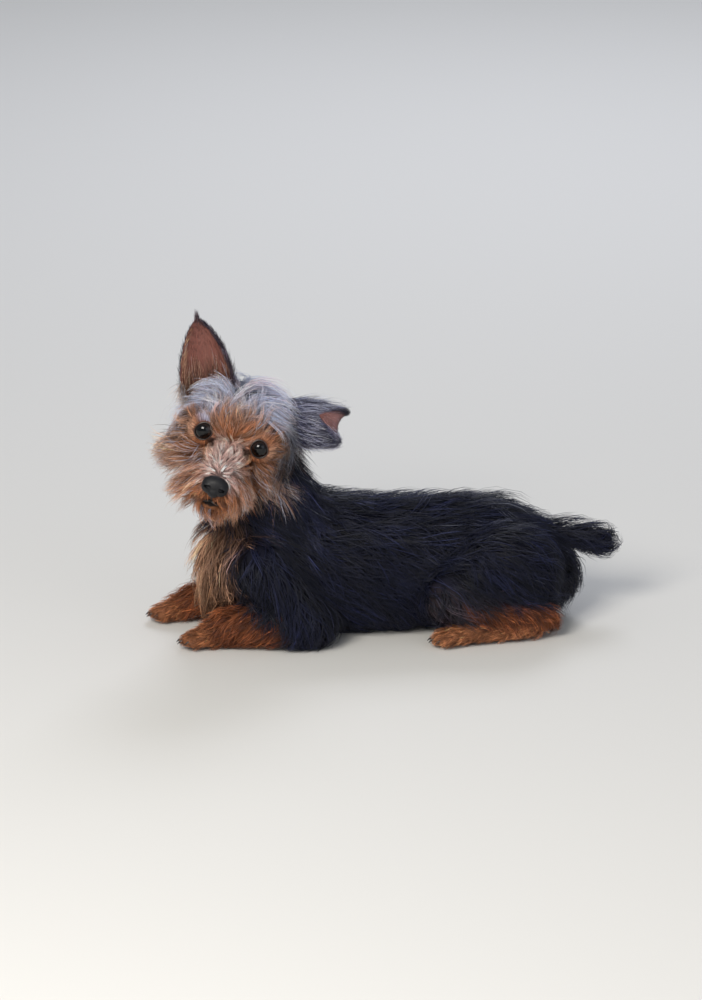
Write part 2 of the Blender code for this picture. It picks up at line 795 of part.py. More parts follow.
def main():
    random.seed(SEED)
    clear_scene()
    parts = collection("yorkshire_terrier")
    shop = collection("cutters")

    head = melted("head", head_balls() + beard_balls(), parts, 1200, frame=HEAD, voxel=0.16)
    eyes = [eye(side, parts) for side in (-1, 1)]
    nose = melted("nose", nose_balls(), parts, 260, 0, HEAD, voxel=0.06, rounds=3)
    torso = melted("torso", torso_balls(), parts, 640, rounds=14)
    neck = melted("neck", neck_balls(), parts, 300)
    tail = melted("tail", tail_balls(), parts, 160)
    legs = {
        "leg_front_left": melted("leg_front_left", front_leg_balls(-1, 0), parts, 280),
        "leg_front_right": melted("leg_front_right", front_leg_balls(1, 1.2), parts, 280),
        "leg_hind_left": melted("leg_hind_left", hind_leg_balls(-1), parts, 280),
        "leg_hind_right": melted("leg_hind_right", hind_leg_balls(1), parts, 280),
    }
    upright, sideways = ear_sheets()
    ear_right = ear("ear_right", upright, parts)
    ear_left = ear("ear_left", sideways, parts)

    opened = [lids(side, shop) for side in (-1, 1)]
    boolean(head, [skin for skin, _ in opened], "UNION")
    openings = [opening for _, opening in opened]
    boolean(head, [grown(one, shop) for one in eyes] + openings + [mouth(shop)], "DIFFERENCE")
    boolean(nose, [grown(head, shop)], "DIFFERENCE")
    boolean(nose, [nostril(side, shop) for side in (-1, 1)], "DIFFERENCE")
    rooted(ear_right, ear_fringe(upright, RIGHT_FRINGE, shop), shop)
    rooted(ear_left, ear_fringe(sideways, LEFT_FRINGE, shop), shop)
    for one in (ear_right, ear_left):
        boolean(one, [grown(head, shop)], "DIFFERENCE")
    boolean(neck, [grown(head, shop), grown(torso, shop)], "DIFFERENCE")
    boolean(tail, [grown(torso, shop)], "DIFFERENCE")
    boolean(torso, [floor_box(shop)], "DIFFERENCE")
    for leg in legs.values():
        boolean(leg, [grown(torso, shop), grown(neck, shop), floor_box(shop)], "DIFFERENCE")

    cores = {"head": head, "neck": neck, "torso": torso, "tail": tail, **legs}
    others = {"nose": nose, "eye_right": eyes[0], "eye_left": eyes[1]}
    others.update({"ear_right": ear_right, "ear_left": ear_left})
    for name, locks in coat(cores, others, shop).items():
        if locks:
            rooted(cores[name], locks, shop)

    finish(head, "tan_coat")
    finish(nose, "nose_leather")
    for one in eyes:
        finish(one, "eye")
    for one in (ear_right, ear_left):
        finish(one, "ear_skin")
    for one in (torso, neck, tail):
        finish(one, "black_coat")
    for leg in legs.values():
        finish(leg, "tan_coat")
    settle_origin(list(parts.objects))


main()
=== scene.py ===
# %% [markdown]
# # A young yorkshire terrier, lying down
# This lesson dresses a small dog for a museum case. The solids already hold its size and pose, so
# everything here is measured from them. We first load them, keep the box that they fill, and find
# the point about which the body was laid out. Its left eye tells us where that point went.

# %% The frame and the layout
import math

import bmesh
import bpy
import numpy as np
from mathutils import Matrix, Vector
from mathutils.bvhtree import BVHTree
from mathutils.kdtree import KDTree


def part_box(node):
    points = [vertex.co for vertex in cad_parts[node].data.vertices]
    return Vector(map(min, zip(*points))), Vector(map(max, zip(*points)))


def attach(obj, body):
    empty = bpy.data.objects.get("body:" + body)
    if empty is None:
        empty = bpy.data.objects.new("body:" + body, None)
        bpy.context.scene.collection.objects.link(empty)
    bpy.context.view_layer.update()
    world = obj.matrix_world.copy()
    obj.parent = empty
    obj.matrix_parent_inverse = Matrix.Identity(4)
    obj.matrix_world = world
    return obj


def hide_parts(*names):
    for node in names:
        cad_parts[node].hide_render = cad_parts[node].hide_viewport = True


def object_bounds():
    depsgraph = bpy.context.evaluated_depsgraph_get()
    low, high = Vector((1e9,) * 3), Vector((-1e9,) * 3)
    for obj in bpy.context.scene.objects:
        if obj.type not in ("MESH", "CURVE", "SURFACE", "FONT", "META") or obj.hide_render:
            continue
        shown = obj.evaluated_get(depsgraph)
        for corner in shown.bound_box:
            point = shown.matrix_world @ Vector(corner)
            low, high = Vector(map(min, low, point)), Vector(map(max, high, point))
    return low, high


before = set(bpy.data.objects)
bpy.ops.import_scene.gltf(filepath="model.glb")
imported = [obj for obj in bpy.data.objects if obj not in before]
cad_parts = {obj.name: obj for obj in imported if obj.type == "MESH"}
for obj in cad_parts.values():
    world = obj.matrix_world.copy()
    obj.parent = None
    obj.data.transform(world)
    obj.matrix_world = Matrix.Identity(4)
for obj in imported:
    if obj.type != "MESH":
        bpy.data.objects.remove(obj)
cad_low, cad_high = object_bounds()
CM = 0.01
rng = np.random.default_rng(11)

HEAD_PLACE = Vector((-11.83, -3.6, 14.52))
HEAD_TURN = Matrix.Rotation(math.radians(-16), 3, "Z") @ Matrix.Rotation(math.radians(17), 3, "Y")
EYE = Vector((1.85, 0.35, 0.0))
EYE_RADIUS = 0.85

low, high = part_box("eye_left")
SHIFT = (low + high) / 2 - (HEAD_PLACE + HEAD_TURN @ EYE) * CM
HEAD = Matrix.Translation(HEAD_PLACE * CM + SHIFT) @ HEAD_TURN.to_4x4()
BODY = Matrix.Translation(SHIFT)
TURN = np.array(HEAD_TURN)
print("the layout's origin lies at", [round(value / CM, 2) for value in SHIFT], "cm")

# %% From one set of axes to another


def smooth(low, high, value):
    """0 up to low and 1 from high on, with a soft step between. low may be the larger one."""
    share = np.clip((value - low) / (high - low), 0, 1)
    return share * share * (3 - 2 * share)


def to_body(points):
    """Metres in the frame to the body's centimetres."""
    return (points - np.array(SHIFT)) / CM


def to_head(body_points):
    """The body's centimetres to the head's own, X to the dog's left, Y back, Z to the crown."""
    return (body_points - np.array(HEAD_PLACE)) @ TURN


def turned(head_vectors):
    """Directions along the head's axes, as directions along the body's."""
    return head_vectors @ TURN.T


def head_in_metres(head_points):
    """Places in the head's centimetres, as places in the frame."""
    return turned(head_points) * CM + np.array(HEAD.translation)


# %% [markdown]
# ## Colours
# Colours are picked as sRGB hex codes, as in any paint program, but a shader wants linear light.
# One small function turns one into the other, and another adds a node and fills its inputs, so
# that each material below reads as a short recipe.

# %% Colour and node helpers


def linear(code):
    """An sRGB hex code as linear light."""
    parts = [int(code[i : i + 2], 16) / 255 for i in (0, 2, 4)]
    return np.array([p / 12.92 if p <= 0.04045 else ((p + 0.055) / 1.055) ** 2.4 for p in parts])


def rgba(code):
    return (*linear(code), 1.0)


def add_node(tree, kind, inputs=(), **settings):
    """Adds a node. inputs maps a socket's name or number to a value or to another socket."""
    node = tree.nodes.new(kind)
    for key, value in settings.items():
        setattr(node, key, value)
    for key, value in dict(inputs).items():
        if isinstance(value, bpy.types.NodeSocket):
            tree.links.new(value, node.inputs[key])
        else:
            node.inputs[key].default_value = value
    return node


def new_material(name, roughness, **constants):
    """A Principled material. constants are set on its own sockets, by name with _ for a space."""
    made = bpy.data.materials.new(name)
    made.use_nodes = True
    shader = made.node_tree.nodes["Principled BSDF"]
    shader.inputs["Roughness"].default_value = roughness
    for key, value in constants.items():
        shader.inputs[key.replace("_", " ")].default_value = value
    return made, made.node_tree, shader


def set_bump(tree, shader, height, strength, distance):
    """Raises the surface by a node's output. distance is in metres."""
    bump = add_node(
        tree, "ShaderNodeBump", {"Height": height, "Strength": strength, "Distance": distance}
    )
    tree.links.new(bump.outputs["Normal"], shader.inputs["Normal"])


# %% [markdown]
# ## The flesh as balls
# A body under a coat is a set of soft masses. Each is a ball with three radii, in centimetres, and
# a limb is a row of balls between a few stations. They are the same masses as in the solids, with
# no coat over them, so the skin lies inside the solids by the depth of their core. The toes are
# added here, because short fur shows them.

# %% Balls and limbs


def limb(*stations, steps=8):
    """Balls between stations of (x, y, z, radius or three radii)."""
    balls = []
    for a, b in zip(stations, stations[1:]):
        a_radii, b_radii = np.resize(a[3], 3), np.resize(b[3], 3)
        for step in range(steps + 1):
            t = step / steps
            place = np.array(a[:3]) * (1 - t) + np.array(b[:3]) * t
            balls.append((place, a_radii * (1 - t) + b_radii * t))
    return balls


def ball(x, y, z, *radii):
    return [(np.array((x, y, z), float), np.resize(radii, 3).astype(float))]


def both_sides(balls, axis):
    """The balls and their mirror images, across X on the head or across Y on the body."""
    flip = np.ones(3)
    flip[axis] = -1
    return balls + [(place * flip, radii) for place, radii in balls]


# %% The trunk and the legs
trunk = []
# x, half the width, top and bottom of the trunk at each station
for x, half, top, bottom in (
    (-11.2, 2.5, 7.8, 1.3),
    (-9.2, 3.3, 8.9, 0.5),
    (-6.0, 3.8, 9.1, 0.25),
    (-2.0, 3.9, 8.3, 0.25),
    (3.0, 3.8, 8.2, 0.25),
    (6.5, 3.6, 7.6, 0.25),
    (9.0, 3.0, 6.4, 0.5),
    (10.3, 2.2, 5.5, 1.4),
):
    reach = min(2.6, (top - bottom) * 0.3)
    trunk.append((x, 0, (top + bottom) / 2, (reach, half, (top - bottom) / 2)))

PAW_SPREAD, LEG_SPREAD = 2.9, 3.8
# the four toes of a paw: how far to the side, and how far ahead of the outer pair
TOES = ((-1.5, -0.2), (-0.5, 0.15), (0.5, 0.15), (1.5, -0.2))


def toes(x, y, z, reach):
    """Four toes and the pad behind them, pointing to -X."""
    balls = ball(x + 0.3, y, z, 0.85, 0.85, 0.6)
    for side, ahead in TOES:
        start = (x - 0.1, y + side * 0.38, z + 0.12, 0.42)
        balls += limb(start, (x - reach - ahead, y + side * 0.44, z - 0.12, 0.37), steps=4)
    return balls


def front_leg(side, reach):
    y = side * PAW_SPREAD
    upper = limb((-9.8, side * 2.9, 5.2, 1.8), (-6.6, side * 3.9, 1.6, 1.35))
    lower = limb(
        (-6.6, side * 3.9, 1.6, 1.35),
        (-9.4, side * 3.6, 1.6, (1.2, 1.2, 1.35)),
        (-12.3 - reach, y, 1.35, (1.0, 0.95, 1.1)),
    )
    wrist = limb(
        (-12.3 - reach, y, 1.25, (1.0, 0.9, 0.95)),
        (-13.4 - reach, y, 0.95, 0.75),
        steps=4,
    )
    return upper, lower, wrist + toes(-13.7 - reach, y, 0.72, 0.95)


def hind_leg(side):
    y = side * LEG_SPREAD
    thigh = limb((6.0, y * 0.9, 4.2, (2.6, 1.5, 2.4)), (2.7, y * 1.16, 3.1, (1.6, 1.35, 1.6)))
    shank = limb((2.7, y * 1.16, 3.1, 1.35), (5.5, y * 1.24, 2.0, 1.2), (8.9, y * 1.22, 1.3, 0.85))
    foot = limb((8.9, y * 1.22, 1.3, 0.8), (7.0, y * 1.32, 0.85, 0.75), (3.6, y * 1.4, 0.8, 0.68))
    return thigh, shank, foot + toes(2.6, y * 1.4, 0.66, 0.9)


# %% All the masses
masses = {
    "head": ball(0, 3.3, 0.5, 2.75, 3.1, 2.3)
    + ball(0, 1.2, 0.7, 2.2, 1.8, 1.4)
    + ball(0, 3.4, -1.6, 2.2, 2.4, 1.8)
    + both_sides(
        ball(2.1, 2.0, -1.3, 1.2, 1.9, 1.4)
        + ball(2.0, 1.2, 0.0, 1.4, 1.28, 1.3)
        + ball(0.5, -2.6, -2.72, 0.75, 0.95, 0.82)
        + ball(0.8, -1.2, -2.5, 0.9, 1.4, 0.8),
        0,
    )
    + ball(0, -0.6, -1.5, 1.5, 1.5, 1.3)
    + ball(0, -2.0, -1.95, 1.1, 1.2, 0.95)
    + ball(0, -3.0, -2.1, 0.85, 0.85, 0.75)
    + ball(0, -3.3, -2.12, 0.76, 0.78, 0.66)
    + limb((0, -2.2, -3.85, (0.72, 0.68, 0.42)), (0, 1.0, -3.1, (1.3, 1.0, 1.0))),
    "neck": limb((-7.8, 0, 6.6, 3.2), (-9.6, 0.2, 9.6, 2.9), (-10.9, 0.9, 12.7, 2.5)),
    "torso": limb(*trunk) + both_sides(ball(6.4, 3.2, 4.0, 3.3, 1.9, 3.0), 1),
    "tail": limb((10.2, 0, 5.2, 0.75), (12.0, 0, 5.3, 0.6), (13.5, 0, 5.0, 0.5)),
}
for side, name, reach in ((-1, "left", 0), (1, "right", 1.2)):
    parts = front_leg(side, reach)
    masses.update({f"{bit} {name}": balls for bit, balls in zip(("arm", "forearm", "paw"), parts)})
    parts = hind_leg(side)
    masses.update({f"{bit} {name}": balls for bit, balls in zip(("thigh", "shank", "foot"), parts)})
print("masses:", {name: len(balls) for name, balls in masses.items()})


# %% [markdown]
# ## One skin
# Where balls meet there is a crease that no animal has. A voxel remesh melts them into one closed
# surface, and a smooth modifier relaxes what is left of the creases. Metaballs would also melt, but
# they swell where they meet, and the remesh keeps the sizes that were asked for. The eyes' hollows
# are then cut, so that the eyeballs sit in the head and not on it.

# %% Objects and their modifiers


def object_of(bm, name):
    mesh = bpy.data.meshes.new(name)
    bm.to_mesh(mesh)
    bm.free()
    obj = bpy.data.objects.new(name, mesh)
    bpy.context.scene.collection.objects.link(obj)
    return obj


def settle(obj):
    """Applies the object's modifiers to its mesh."""
    bpy.context.view_layer.update()
    graph = bpy.context.evaluated_depsgraph_get()
    mesh = bpy.data.meshes.new_from_object(obj.evaluated_get(graph))
    obj.modifiers.clear()
    mesh.materials.clear()
    mesh.polygons.foreach_set("material_index", np.zeros(len(mesh.polygons), np.int32))
    obj.data = mesh
    return obj


# %% Melting and cutting


def unit_ball():
    """One ball's points and triangles. Every mass is a copy of it, written as an array."""
    bm = bmesh.new()
    bmesh.ops.create_uvsphere(bm, u_segments=24, v_segments=14, radius=1)
    bmesh.ops.triangulate(bm, faces=bm.faces)
    points = np.array([vert.co[:] for vert in bm.verts])
    triangles = np.array([[vert.index for vert in face.verts] for face in bm.faces])
    bm.free()
    return points, triangles


BALL_POINTS, BALL_TRIANGLES = unit_ball()


def melted(name, groups, voxel, rounds):
    """groups is a list of (balls, matrix). Sizes are in centimetres."""
    points, triangles = [], []
    for balls, where in groups:
        where = np.array(where)
        for place, radii in balls:
            triangles.append(BALL_TRIANGLES + len(points) * len(BALL_POINTS))
            spot = (BALL_POINTS * radii + place) * CM
            points.append(spot @ where[:3, :3].T + where[:3, 3])
    mesh = bpy.data.meshes.new(name)
    mesh.from_pydata(np.concatenate(points), [], np.concatenate(triangles))
    obj = bpy.data.objects.new(name, mesh)
    bpy.context.scene.collection.objects.link(obj)
    remesh = obj.modifiers.new("melt", "REMESH")
    remesh.mode = "VOXEL"
    remesh.voxel_size = voxel * CM
    relax = obj.modifiers.new("relax", "SMOOTH")
    relax.iterations = rounds
    return settle(obj)


def subtract(obj, tool):
    cut = obj.modifiers.new("cut", "BOOLEAN")
    cut.operation = "DIFFERENCE"
    cut.solver = "MANIFOLD"
    cut.object = tool
    settle(obj)
    bpy.data.objects.remove(tool)
    return obj


# %% The skin
SKIN_VOXEL, SOCKET_VOXEL = 0.13, 0.06
groups = [(balls, HEAD if name == "head" else BODY) for name, balls in masses.items()]
skin = melted("skin", groups, SKIN_VOXEL, 6)
for side in (-1, 1):
    hollow = ball(side * EYE.x, EYE.y - 0.25, EYE.z, 0.84, 0.84, 0.8)
    subtract(skin, melted("socket", [(hollow, HEAD)], SOCKET_VOXEL, 1))
skin.data.shade_smooth()
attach(skin, "root")
flesh = [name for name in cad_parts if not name.startswith(("eye", "nose", "ear"))]
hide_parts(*flesh)
print("skin:", len(skin.data.polygons), "faces, in place of", sorted(flesh))

# %% [markdown]
# ## Which mass does a point belong to?
# The coat and its colours change from one mass to the next, so every point of the skin needs an
# owner. For each ball we measure how far outside it the point is, as a share of its radius, and the
# smallest share wins. Numpy does that for all points at once.

# %% Owners
OWNERS = ["head", "neck", "torso", "tail", "arm", "forearm", "paw", "thigh", "shank", "foot"]


def owners(body_points):
    """The number in OWNERS of the mass that each place belongs to."""
    best = np.full(len(body_points), np.inf)
    owner = np.zeros(len(body_points), int)
    head_points = to_head(body_points)
    for name, balls in masses.items():
        number = OWNERS.index(name.split()[0])
        points = head_points if name == "head" else body_points
        for place, radii in balls:
            share = np.linalg.norm((points - place) / radii, axis=1)
            outside = (share - 1) * radii.mean()
            closer = outside < best
            best[closer] = outside[closer]
            owner[closer] = number
    return owner


def is_in(owner, *names):
    return np.isin(owner, [OWNERS.index(name) for name in names])


# %% [markdown]
# ## The markings
# A young yorkshire terrier is black on the body, neck and tail, and tan on the muzzle, cheeks,
# chest and lower legs. Its crown is turning silver. The black coat's blue sheen is not a marking:
# it is painted onto the black strands further down, as a blue tint. Skin and hair ask the same
# function for their colour, so no seam can show between them. The colours come from simple rules
# about places on the dog, not from a picture.

# %% The colours of the coat
TAN_DEEP = linear("7c4628")
TAN = linear("aa6f4b")
TAN_LIGHT = linear("cfa286")
CREAM = linear("e2cdbb")
CHEST = linear("7b5a42")
PINK_TAN = linear("e8c0b8")
SILVER = linear("ced6f4")
SILVER_DARK = linear("41414f")
BLACK = linear("0b0c17")
BLUE_BLACK = linear("12152a")
LID_DARK = linear("170f0d")
KNEE = linear("3a3034")


def mix(first, second, share):
    share = np.clip(share, 0, 1)[:, None]
    return first * (1 - share) + second * share


# %% The rules for body and head


def markings(body_points, owner):
    """The coat's colour at places in the body's centimetres."""
    x, y, z = body_points.T
    colour = np.tile(BLACK, (len(x), 1))
    colour = mix(colour, BLUE_BLACK, 0.5 + 0.5 * np.sin(x * 1.9 + z * 1.1 + np.sin(y * 1.3)))

    chest = smooth(-10.6, -12.2, x) * smooth(9.6, 8.2, z) * smooth(3.6, 2.4, np.abs(y))
    chest *= 1 - is_in(owner, "arm") * 0.3
    colour = mix(colour, CHEST, chest)
    colour = mix(colour, TAN_LIGHT, chest * smooth(4.0, 6.5, z) * 0.35)
    low_arm = is_in(owner, "forearm") * smooth(-7.6, -9.4, x) * smooth(3.6, 2.6, z)
    colour = mix(colour, TAN_DEEP, np.maximum(low_arm, is_in(owner, "paw") * 1.0))
    colour = mix(colour, TAN, is_in(owner, "paw") * 0.7)
    stifle = is_in(owner, "thigh", "shank") * smooth(4.6, 3.2, z) * smooth(5.4, 3.2, x)
    colour = mix(colour, KNEE, stifle * 0.85)
    colour = mix(colour, TAN_DEEP, is_in(owner, "shank") * smooth(3.2, 2.0, z))
    colour = mix(colour, TAN, is_in(owner, "foot") * 1.0)
    return np.where(is_in(owner, "head")[:, None], head_markings(to_head(body_points)), colour)


def head_markings(local):
    """The coat's colour at places in the head's centimetres."""
    x, y, z = local.T
    side = np.abs(x)
    colour = np.tile(TAN, (len(x), 1))
    muzzle = smooth(1.3, 0.5, side) * smooth(0.9, -0.4, y) * smooth(-2.4, -1.7, z)
    colour = mix(colour, TAN_DEEP, smooth(1.5, 0.5, np.hypot(x, z - 0.45)) * 0.55)
    colour = mix(colour, PINK_TAN, muzzle * smooth(0.3, -0.7, z))
    colour = mix(colour, TAN_DEEP, smooth(-1.4, -2.4, z) * smooth(0.5, 1.6, side) * 0.55)
    colour = mix(colour, TAN_DEEP, smooth(0.7, 0.2, np.hypot(x, (z + 3.2) * 0.9)) * 0.8)
    cheek = smooth(2.2, 3.2, side) * smooth(1.2, 0.2, z) * smooth(3.2, 2.0, y)
    colour = mix(colour, CREAM, cheek * 0.28)
    crown = smooth(0.9, 2.2, z + 0.25 * y) * smooth(-1.0, 0.6, y)
    colour = mix(colour, TAN_LIGHT, smooth(0.7, 1.6, z) * 0.6)
    colour = mix(colour, SILVER, crown)
    colour = mix(colour, SILVER, smooth(-1.0, -1.8, x) * smooth(0.6, 1.2, z) * 0.75)
    colour = mix(colour, SILVER_DARK, crown * smooth(2.0, 3.0, x) * 0.9)
    dark = smooth(2.6, 3.8, y - 0.25 * z) * smooth(2.9, 1.6, z)
    dark = np.maximum(dark, smooth(4.4, 5.4, y))
    dark = np.maximum(dark, smooth(2.1, 2.6, x) * smooth(0.7, 1.6, y) * smooth(-2.4, -1.2, z))
    colour = mix(colour, BLUE_BLACK, dark)
    for sign in (-1, 1):
        from_eye = np.hypot(x - sign * EYE.x, z)
        inner = np.hypot(x - sign * 1.2, z + 0.45)
        ring = np.maximum(smooth(0.76, 0.56, from_eye), smooth(0.5, 0.2, inner))
        colour = mix(colour, LID_DARK, ring * smooth(1.2, 0.6, y) * 0.9)
    return colour


# %% Painting the skin


def paint(mesh, colours, name="coat_colour"):
    """Stores a linear colour on each vertex of a mesh."""
    layer = mesh.color_attributes.new(name, "FLOAT_COLOR", "POINT")
    values = np.ones((len(mesh.vertices), 4), np.float32)
    values[:, :3] = colours
    layer.data.foreach_set("color", values.ravel())


def vertices_of(mesh):
    """A mesh's vertices as an array."""
    flat = np.empty(len(mesh.vertices) * 3, np.float32)
    mesh.vertices.foreach_get("co", flat)
    return flat.reshape(-1, 3).astype(float)


skin_points = to_body(vertices_of(skin.data))
skin_owner = owners(skin_points)
skin_tones = markings(skin_points, skin_owner)
# skin under pale hair is darker than the hair, and the gape of the mouth is nearly black
BRIGHTEST_SKIN = 0.15
skin_tones *= np.minimum(1, BRIGHTEST_SKIN / skin_tones.mean(1))[:, None]
x, y, z = to_head(skin_points).T
gape = smooth(1.0, 0.75, np.hypot(x / 0.85, (z + 3.6) / 0.3)) * (y < -2)
paint(skin.data, mix(skin_tones, LID_DARK, gape * (skin_owner == 0)))
print("owners:", {name: int((skin_owner == i).sum()) for i, name in enumerate(OWNERS)})

# %% [markdown]
# The skin between the hairs is matte and carries the same markings, a little darker, with the
# fine grain of short fur as a bump about half a millimetre across. It is scaled from real
# millimetres, so it would be right on any other dog too.

# %% The skin's material
material, tree, shader = new_material("short undercoat on skin", 0.8, Specular_IOR_Level=0.2)
# what shows between the tufts: short dense fur that lies flat
colour = add_node(tree, "ShaderNodeVertexColor", layer_name="coat_colour")
dark = add_node(
    tree,
    "ShaderNodeMix",
    {0: 0.35, 6: colour.outputs["Color"], 7: rgba("0b0908")},
    data_type="RGBA",
)
tree.links.new(dark.outputs[2], shader.inputs["Base Color"])
place = add_node(tree, "ShaderNodeTexCoord")
grain = add_node(
    tree, "ShaderNodeTexNoise", {"Vector": place.outputs["Object"], "Scale": 1800, "Detail": 3}
)
set_bump(tree, shader, grain.outputs["Fac"], 0.5, 0.0004)
skin.data.materials.append(material)

# %% [markdown]
# ## Eyes
# A dog's eye is almost all iris. Here it is a glossy ball with a slightly bulging cornea, dark
# brown round a black pupil, and only a hint of white at the corners. Each point of the ball keeps
# how far it lies from the pupil's middle, and a colour ramp turns that number into the iris.

# %% Eyeballs
material, tree, shader = new_material(
    "dark brown eye", 0.3, Specular_IOR_Level=0.0, Coat_Weight=0.8
)
# a wet eyeball: black pupil, dark brown iris, and a dull white that shows only when it turns
distance = add_node(tree, "ShaderNodeVertexColor", layer_name="from_pupil")
ramp = add_node(tree, "ShaderNodeValToRGB", {"Fac": distance.outputs["Color"]})
ramp.color_ramp.elements[0].position = 0.30
ramp.color_ramp.elements[0].color = rgba("020203")
ramp.color_ramp.elements[1].position = 0.36
ramp.color_ramp.elements[1].color = rgba("1d0f09")
for position, code in ((0.52, "140a06"), (0.60, "060404"), (0.8, "1c1514")):
    ramp.color_ramp.elements.new(position).color = rgba(code)
tree.links.new(ramp.outputs["Color"], shader.inputs["Base Color"])
eye_material = material

WIDEST = 1.5  # the angle from the pupil's middle, in radians, at which the ramp ends
for side, name in ((1, "left"), (-1, "right")):
    bm = bmesh.new()
    bmesh.ops.create_uvsphere(bm, u_segments=48, v_segments=32, radius=EYE_RADIUS)
    look = Vector((side * 0.16, -1, 0.10)).normalized()
    shares = []
    for vert in bm.verts:
        ahead = vert.co.normalized().dot(look)
        vert.co += look * 0.07 * float(smooth(0.80, 0.97, ahead))
        shares.append(math.acos(max(-1, min(1, ahead))) / WIDEST)
        vert.co = HEAD @ ((vert.co + Vector((side * EYE.x, EYE.y, 0))) * CM)
    eyeball = object_of(bm, f"eyeball_{name}")
    paint(eyeball.data, np.array(shares)[:, None].repeat(3, 1), "from_pupil")
    eyeball.data.materials.append(eye_material)
    eyeball.data.shade_smooth()
    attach(eyeball, "root")
    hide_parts(f"eye_{name}")
    print("eyeball", name, "looks along", [round(v, 2) for v in look])

# %% [markdown]
# ## Lids
# The lids are a soft dark ring that hugs the eyeball and leaves an almond open. The ring is drawn
# as rows of points on slightly larger spheres about the eye, from the wet inner edge out to the
# skin, so that it can't cut into the ball. Its bare edge is dark, and its outer rows are tan.

# %% Lids
material, tree, shader = new_material("dark eyelid rim", 0.35, Specular_IOR_Level=0.6)
# the bare wet edge of the lids
colour = add_node(tree, "ShaderNodeVertexColor", layer_name="coat_colour")
tree.links.new(colour.outputs["Color"], shader.inputs["Base Color"])
lid_material = material


def on_lid(side, angle, out, radius):
    """Places round an eye in the head's centimetres: out is how far beyond the lids' opening."""
    across = np.cos(angle) * (0.54 + out)
    tall = np.where(np.sin(angle) > 0, 0.59, 0.52) + out
    up = np.sin(angle) * tall * (1 - 0.16 * np.abs(np.cos(angle)) ** 3)
    up = up - side * 0.10 * across
    x, z = across + side * 0.06, up + 0.02
    depth = np.sqrt(np.maximum(radius**2 - x**2 - z**2, 0.01))
    return np.stack([x + side * EYE.x, EYE.y - depth, z], -1)


def lid_ring(side, name):
    """An almond ring: each profile step is (how far out from the opening, radius, is it bare)."""
    profile = ((0, 0.855), (0, 0.88), (0.03, 0.905), (0.07, 0.915), (0.14, 0.91), (0.3, 0.83))
    around = 56
    angles = np.arange(around) * math.tau / around
    points = [on_lid(side, angles, out, radius) for out, radius in profile]
    points = head_in_metres(np.concatenate(points))
    faces = []
    for row in range(len(profile)):
        after = (row + 1) % len(profile)
        for i in range(around):
            j = (i + 1) % around
            inner, outer = row * around, after * around
            faces.append([inner + i, inner + j, outer + j, outer + i])
    mesh = bpy.data.meshes.new(name)
    mesh.from_pydata(points, [], faces)
    bm = bmesh.new()
    bm.from_mesh(mesh)
    bmesh.ops.recalc_face_normals(bm, faces=bm.faces)
    lid = object_of(bm, name)
    bare = np.repeat((1.0, 1.0, 1.0, 0.8, 0.1, 0.0), around)
    paint(lid.data, mix(TAN_DEEP[None], LID_DARK, bare))
    return lid


for side, name in ((1, "lid_left"), (-1, "lid_right")):
    lid = lid_ring(side, name)
    lid.data.materials.append(lid_material)
    lid.data.shade_smooth()
    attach(lid, "root")
    print(lid.name, len(lid.data.polygons), "faces")

# %% [markdown]
# ## Nose
# The nose is bare leather with a pebbled surface, two comma-shaped nostrils and a groove between
# them. It is melted from balls like the flesh, and the nostrils are cut out. Its pebbles are small
# cells, about a third of a millimetre across, raised by a bump.

# %% Nose leather
nose_balls = (
    ball(0, -3.75, -2.10, 0.90, 0.56, 0.68)
    + both_sides(ball(0.40, -3.85, -2.2, 0.49, 0.46, 0.48), 0)
    + ball(0, -3.9, -2.42, 0.44)
)
nose = melted("nose_leather", [(nose_balls, HEAD)], 0.035, 3)
for side in (-1, 1):
    comma = limb(
        (0.34 * side, -4.38, -2.12, 0.15),
        (0.62 * side, -4.16, -2.16, 0.10),
        (0.80 * side, -3.9, -2.26, 0.06),
    )
    subtract(nose, melted("nostril", [(comma, HEAD)], 0.03, 2))
groove = limb((0, -4.42, -2.25, 0.03), (0, -4.34, -2.6, 0.045))
subtract(nose, melted("groove", [(groove, HEAD)], 0.025, 1))
nose.data.shade_smooth()
material, tree, shader = new_material(
    "black nose leather", 0.42, Specular_IOR_Level=0.3, Coat_Weight=0.1, Coat_Roughness=0.25
)
# moist pebbled skin
shader.inputs["Base Color"].default_value = rgba("0b0b10")
place = add_node(tree, "ShaderNodeTexCoord")
cells = add_node(
    tree, "ShaderNodeTexVoronoi", {"Vector": place.outputs["Object"], "Scale": 2600}
)
set_bump(tree, shader, cells.outputs["Distance"], 0.55, 0.0003)
nose.data.materials.append(material)
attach(nose, "root")
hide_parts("nose")
print("nose:", len(nose.data.polygons), "faces")

# %% [markdown]
# ## Lips
# The lips are a thin dark line under the moustache, with the short groove that runs down from the
# nose. A ray from the front finds where the skin is, and a row of tiny balls along those places is
# melted into one bead, as for the flesh.

# %% Lips
bm = bmesh.new()
bm.from_mesh(skin.data)
bm.transform(HEAD.inverted())
head_tree = BVHTree.FromBMesh(bm)
bm.free()


def on_muzzle(x, z):
    """The place on the skin that lies behind a point seen from the front, in centimetres."""
    found = head_tree.ray_cast(Vector((x, -8, z)) * CM, Vector((0, 1, 0)))[0]
    return (*(found / CM), 0.08)


mouth = []
for x in np.linspace(-1.1, 1.1, 23):
    mouth.append(on_muzzle(x, -3.5 - 0.14 * math.sin(min(abs(x) * 2.4, 2.6))))
philtrum = [on_muzzle(0, z) for z in np.linspace(-2.6, -3.5, 9)]
lips = melted("lips", [(limb(*mouth, steps=2) + limb(*philtrum, steps=2), HEAD)], 0.035, 2)
paint(lips.data, np.tile(LID_DARK, (len(lips.data.vertices), 1)))
lips.data.materials.append(lid_material)
lips.data.shade_smooth()
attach(lips, "root")
print("lips:", len(lips.data.polygons), "faces")

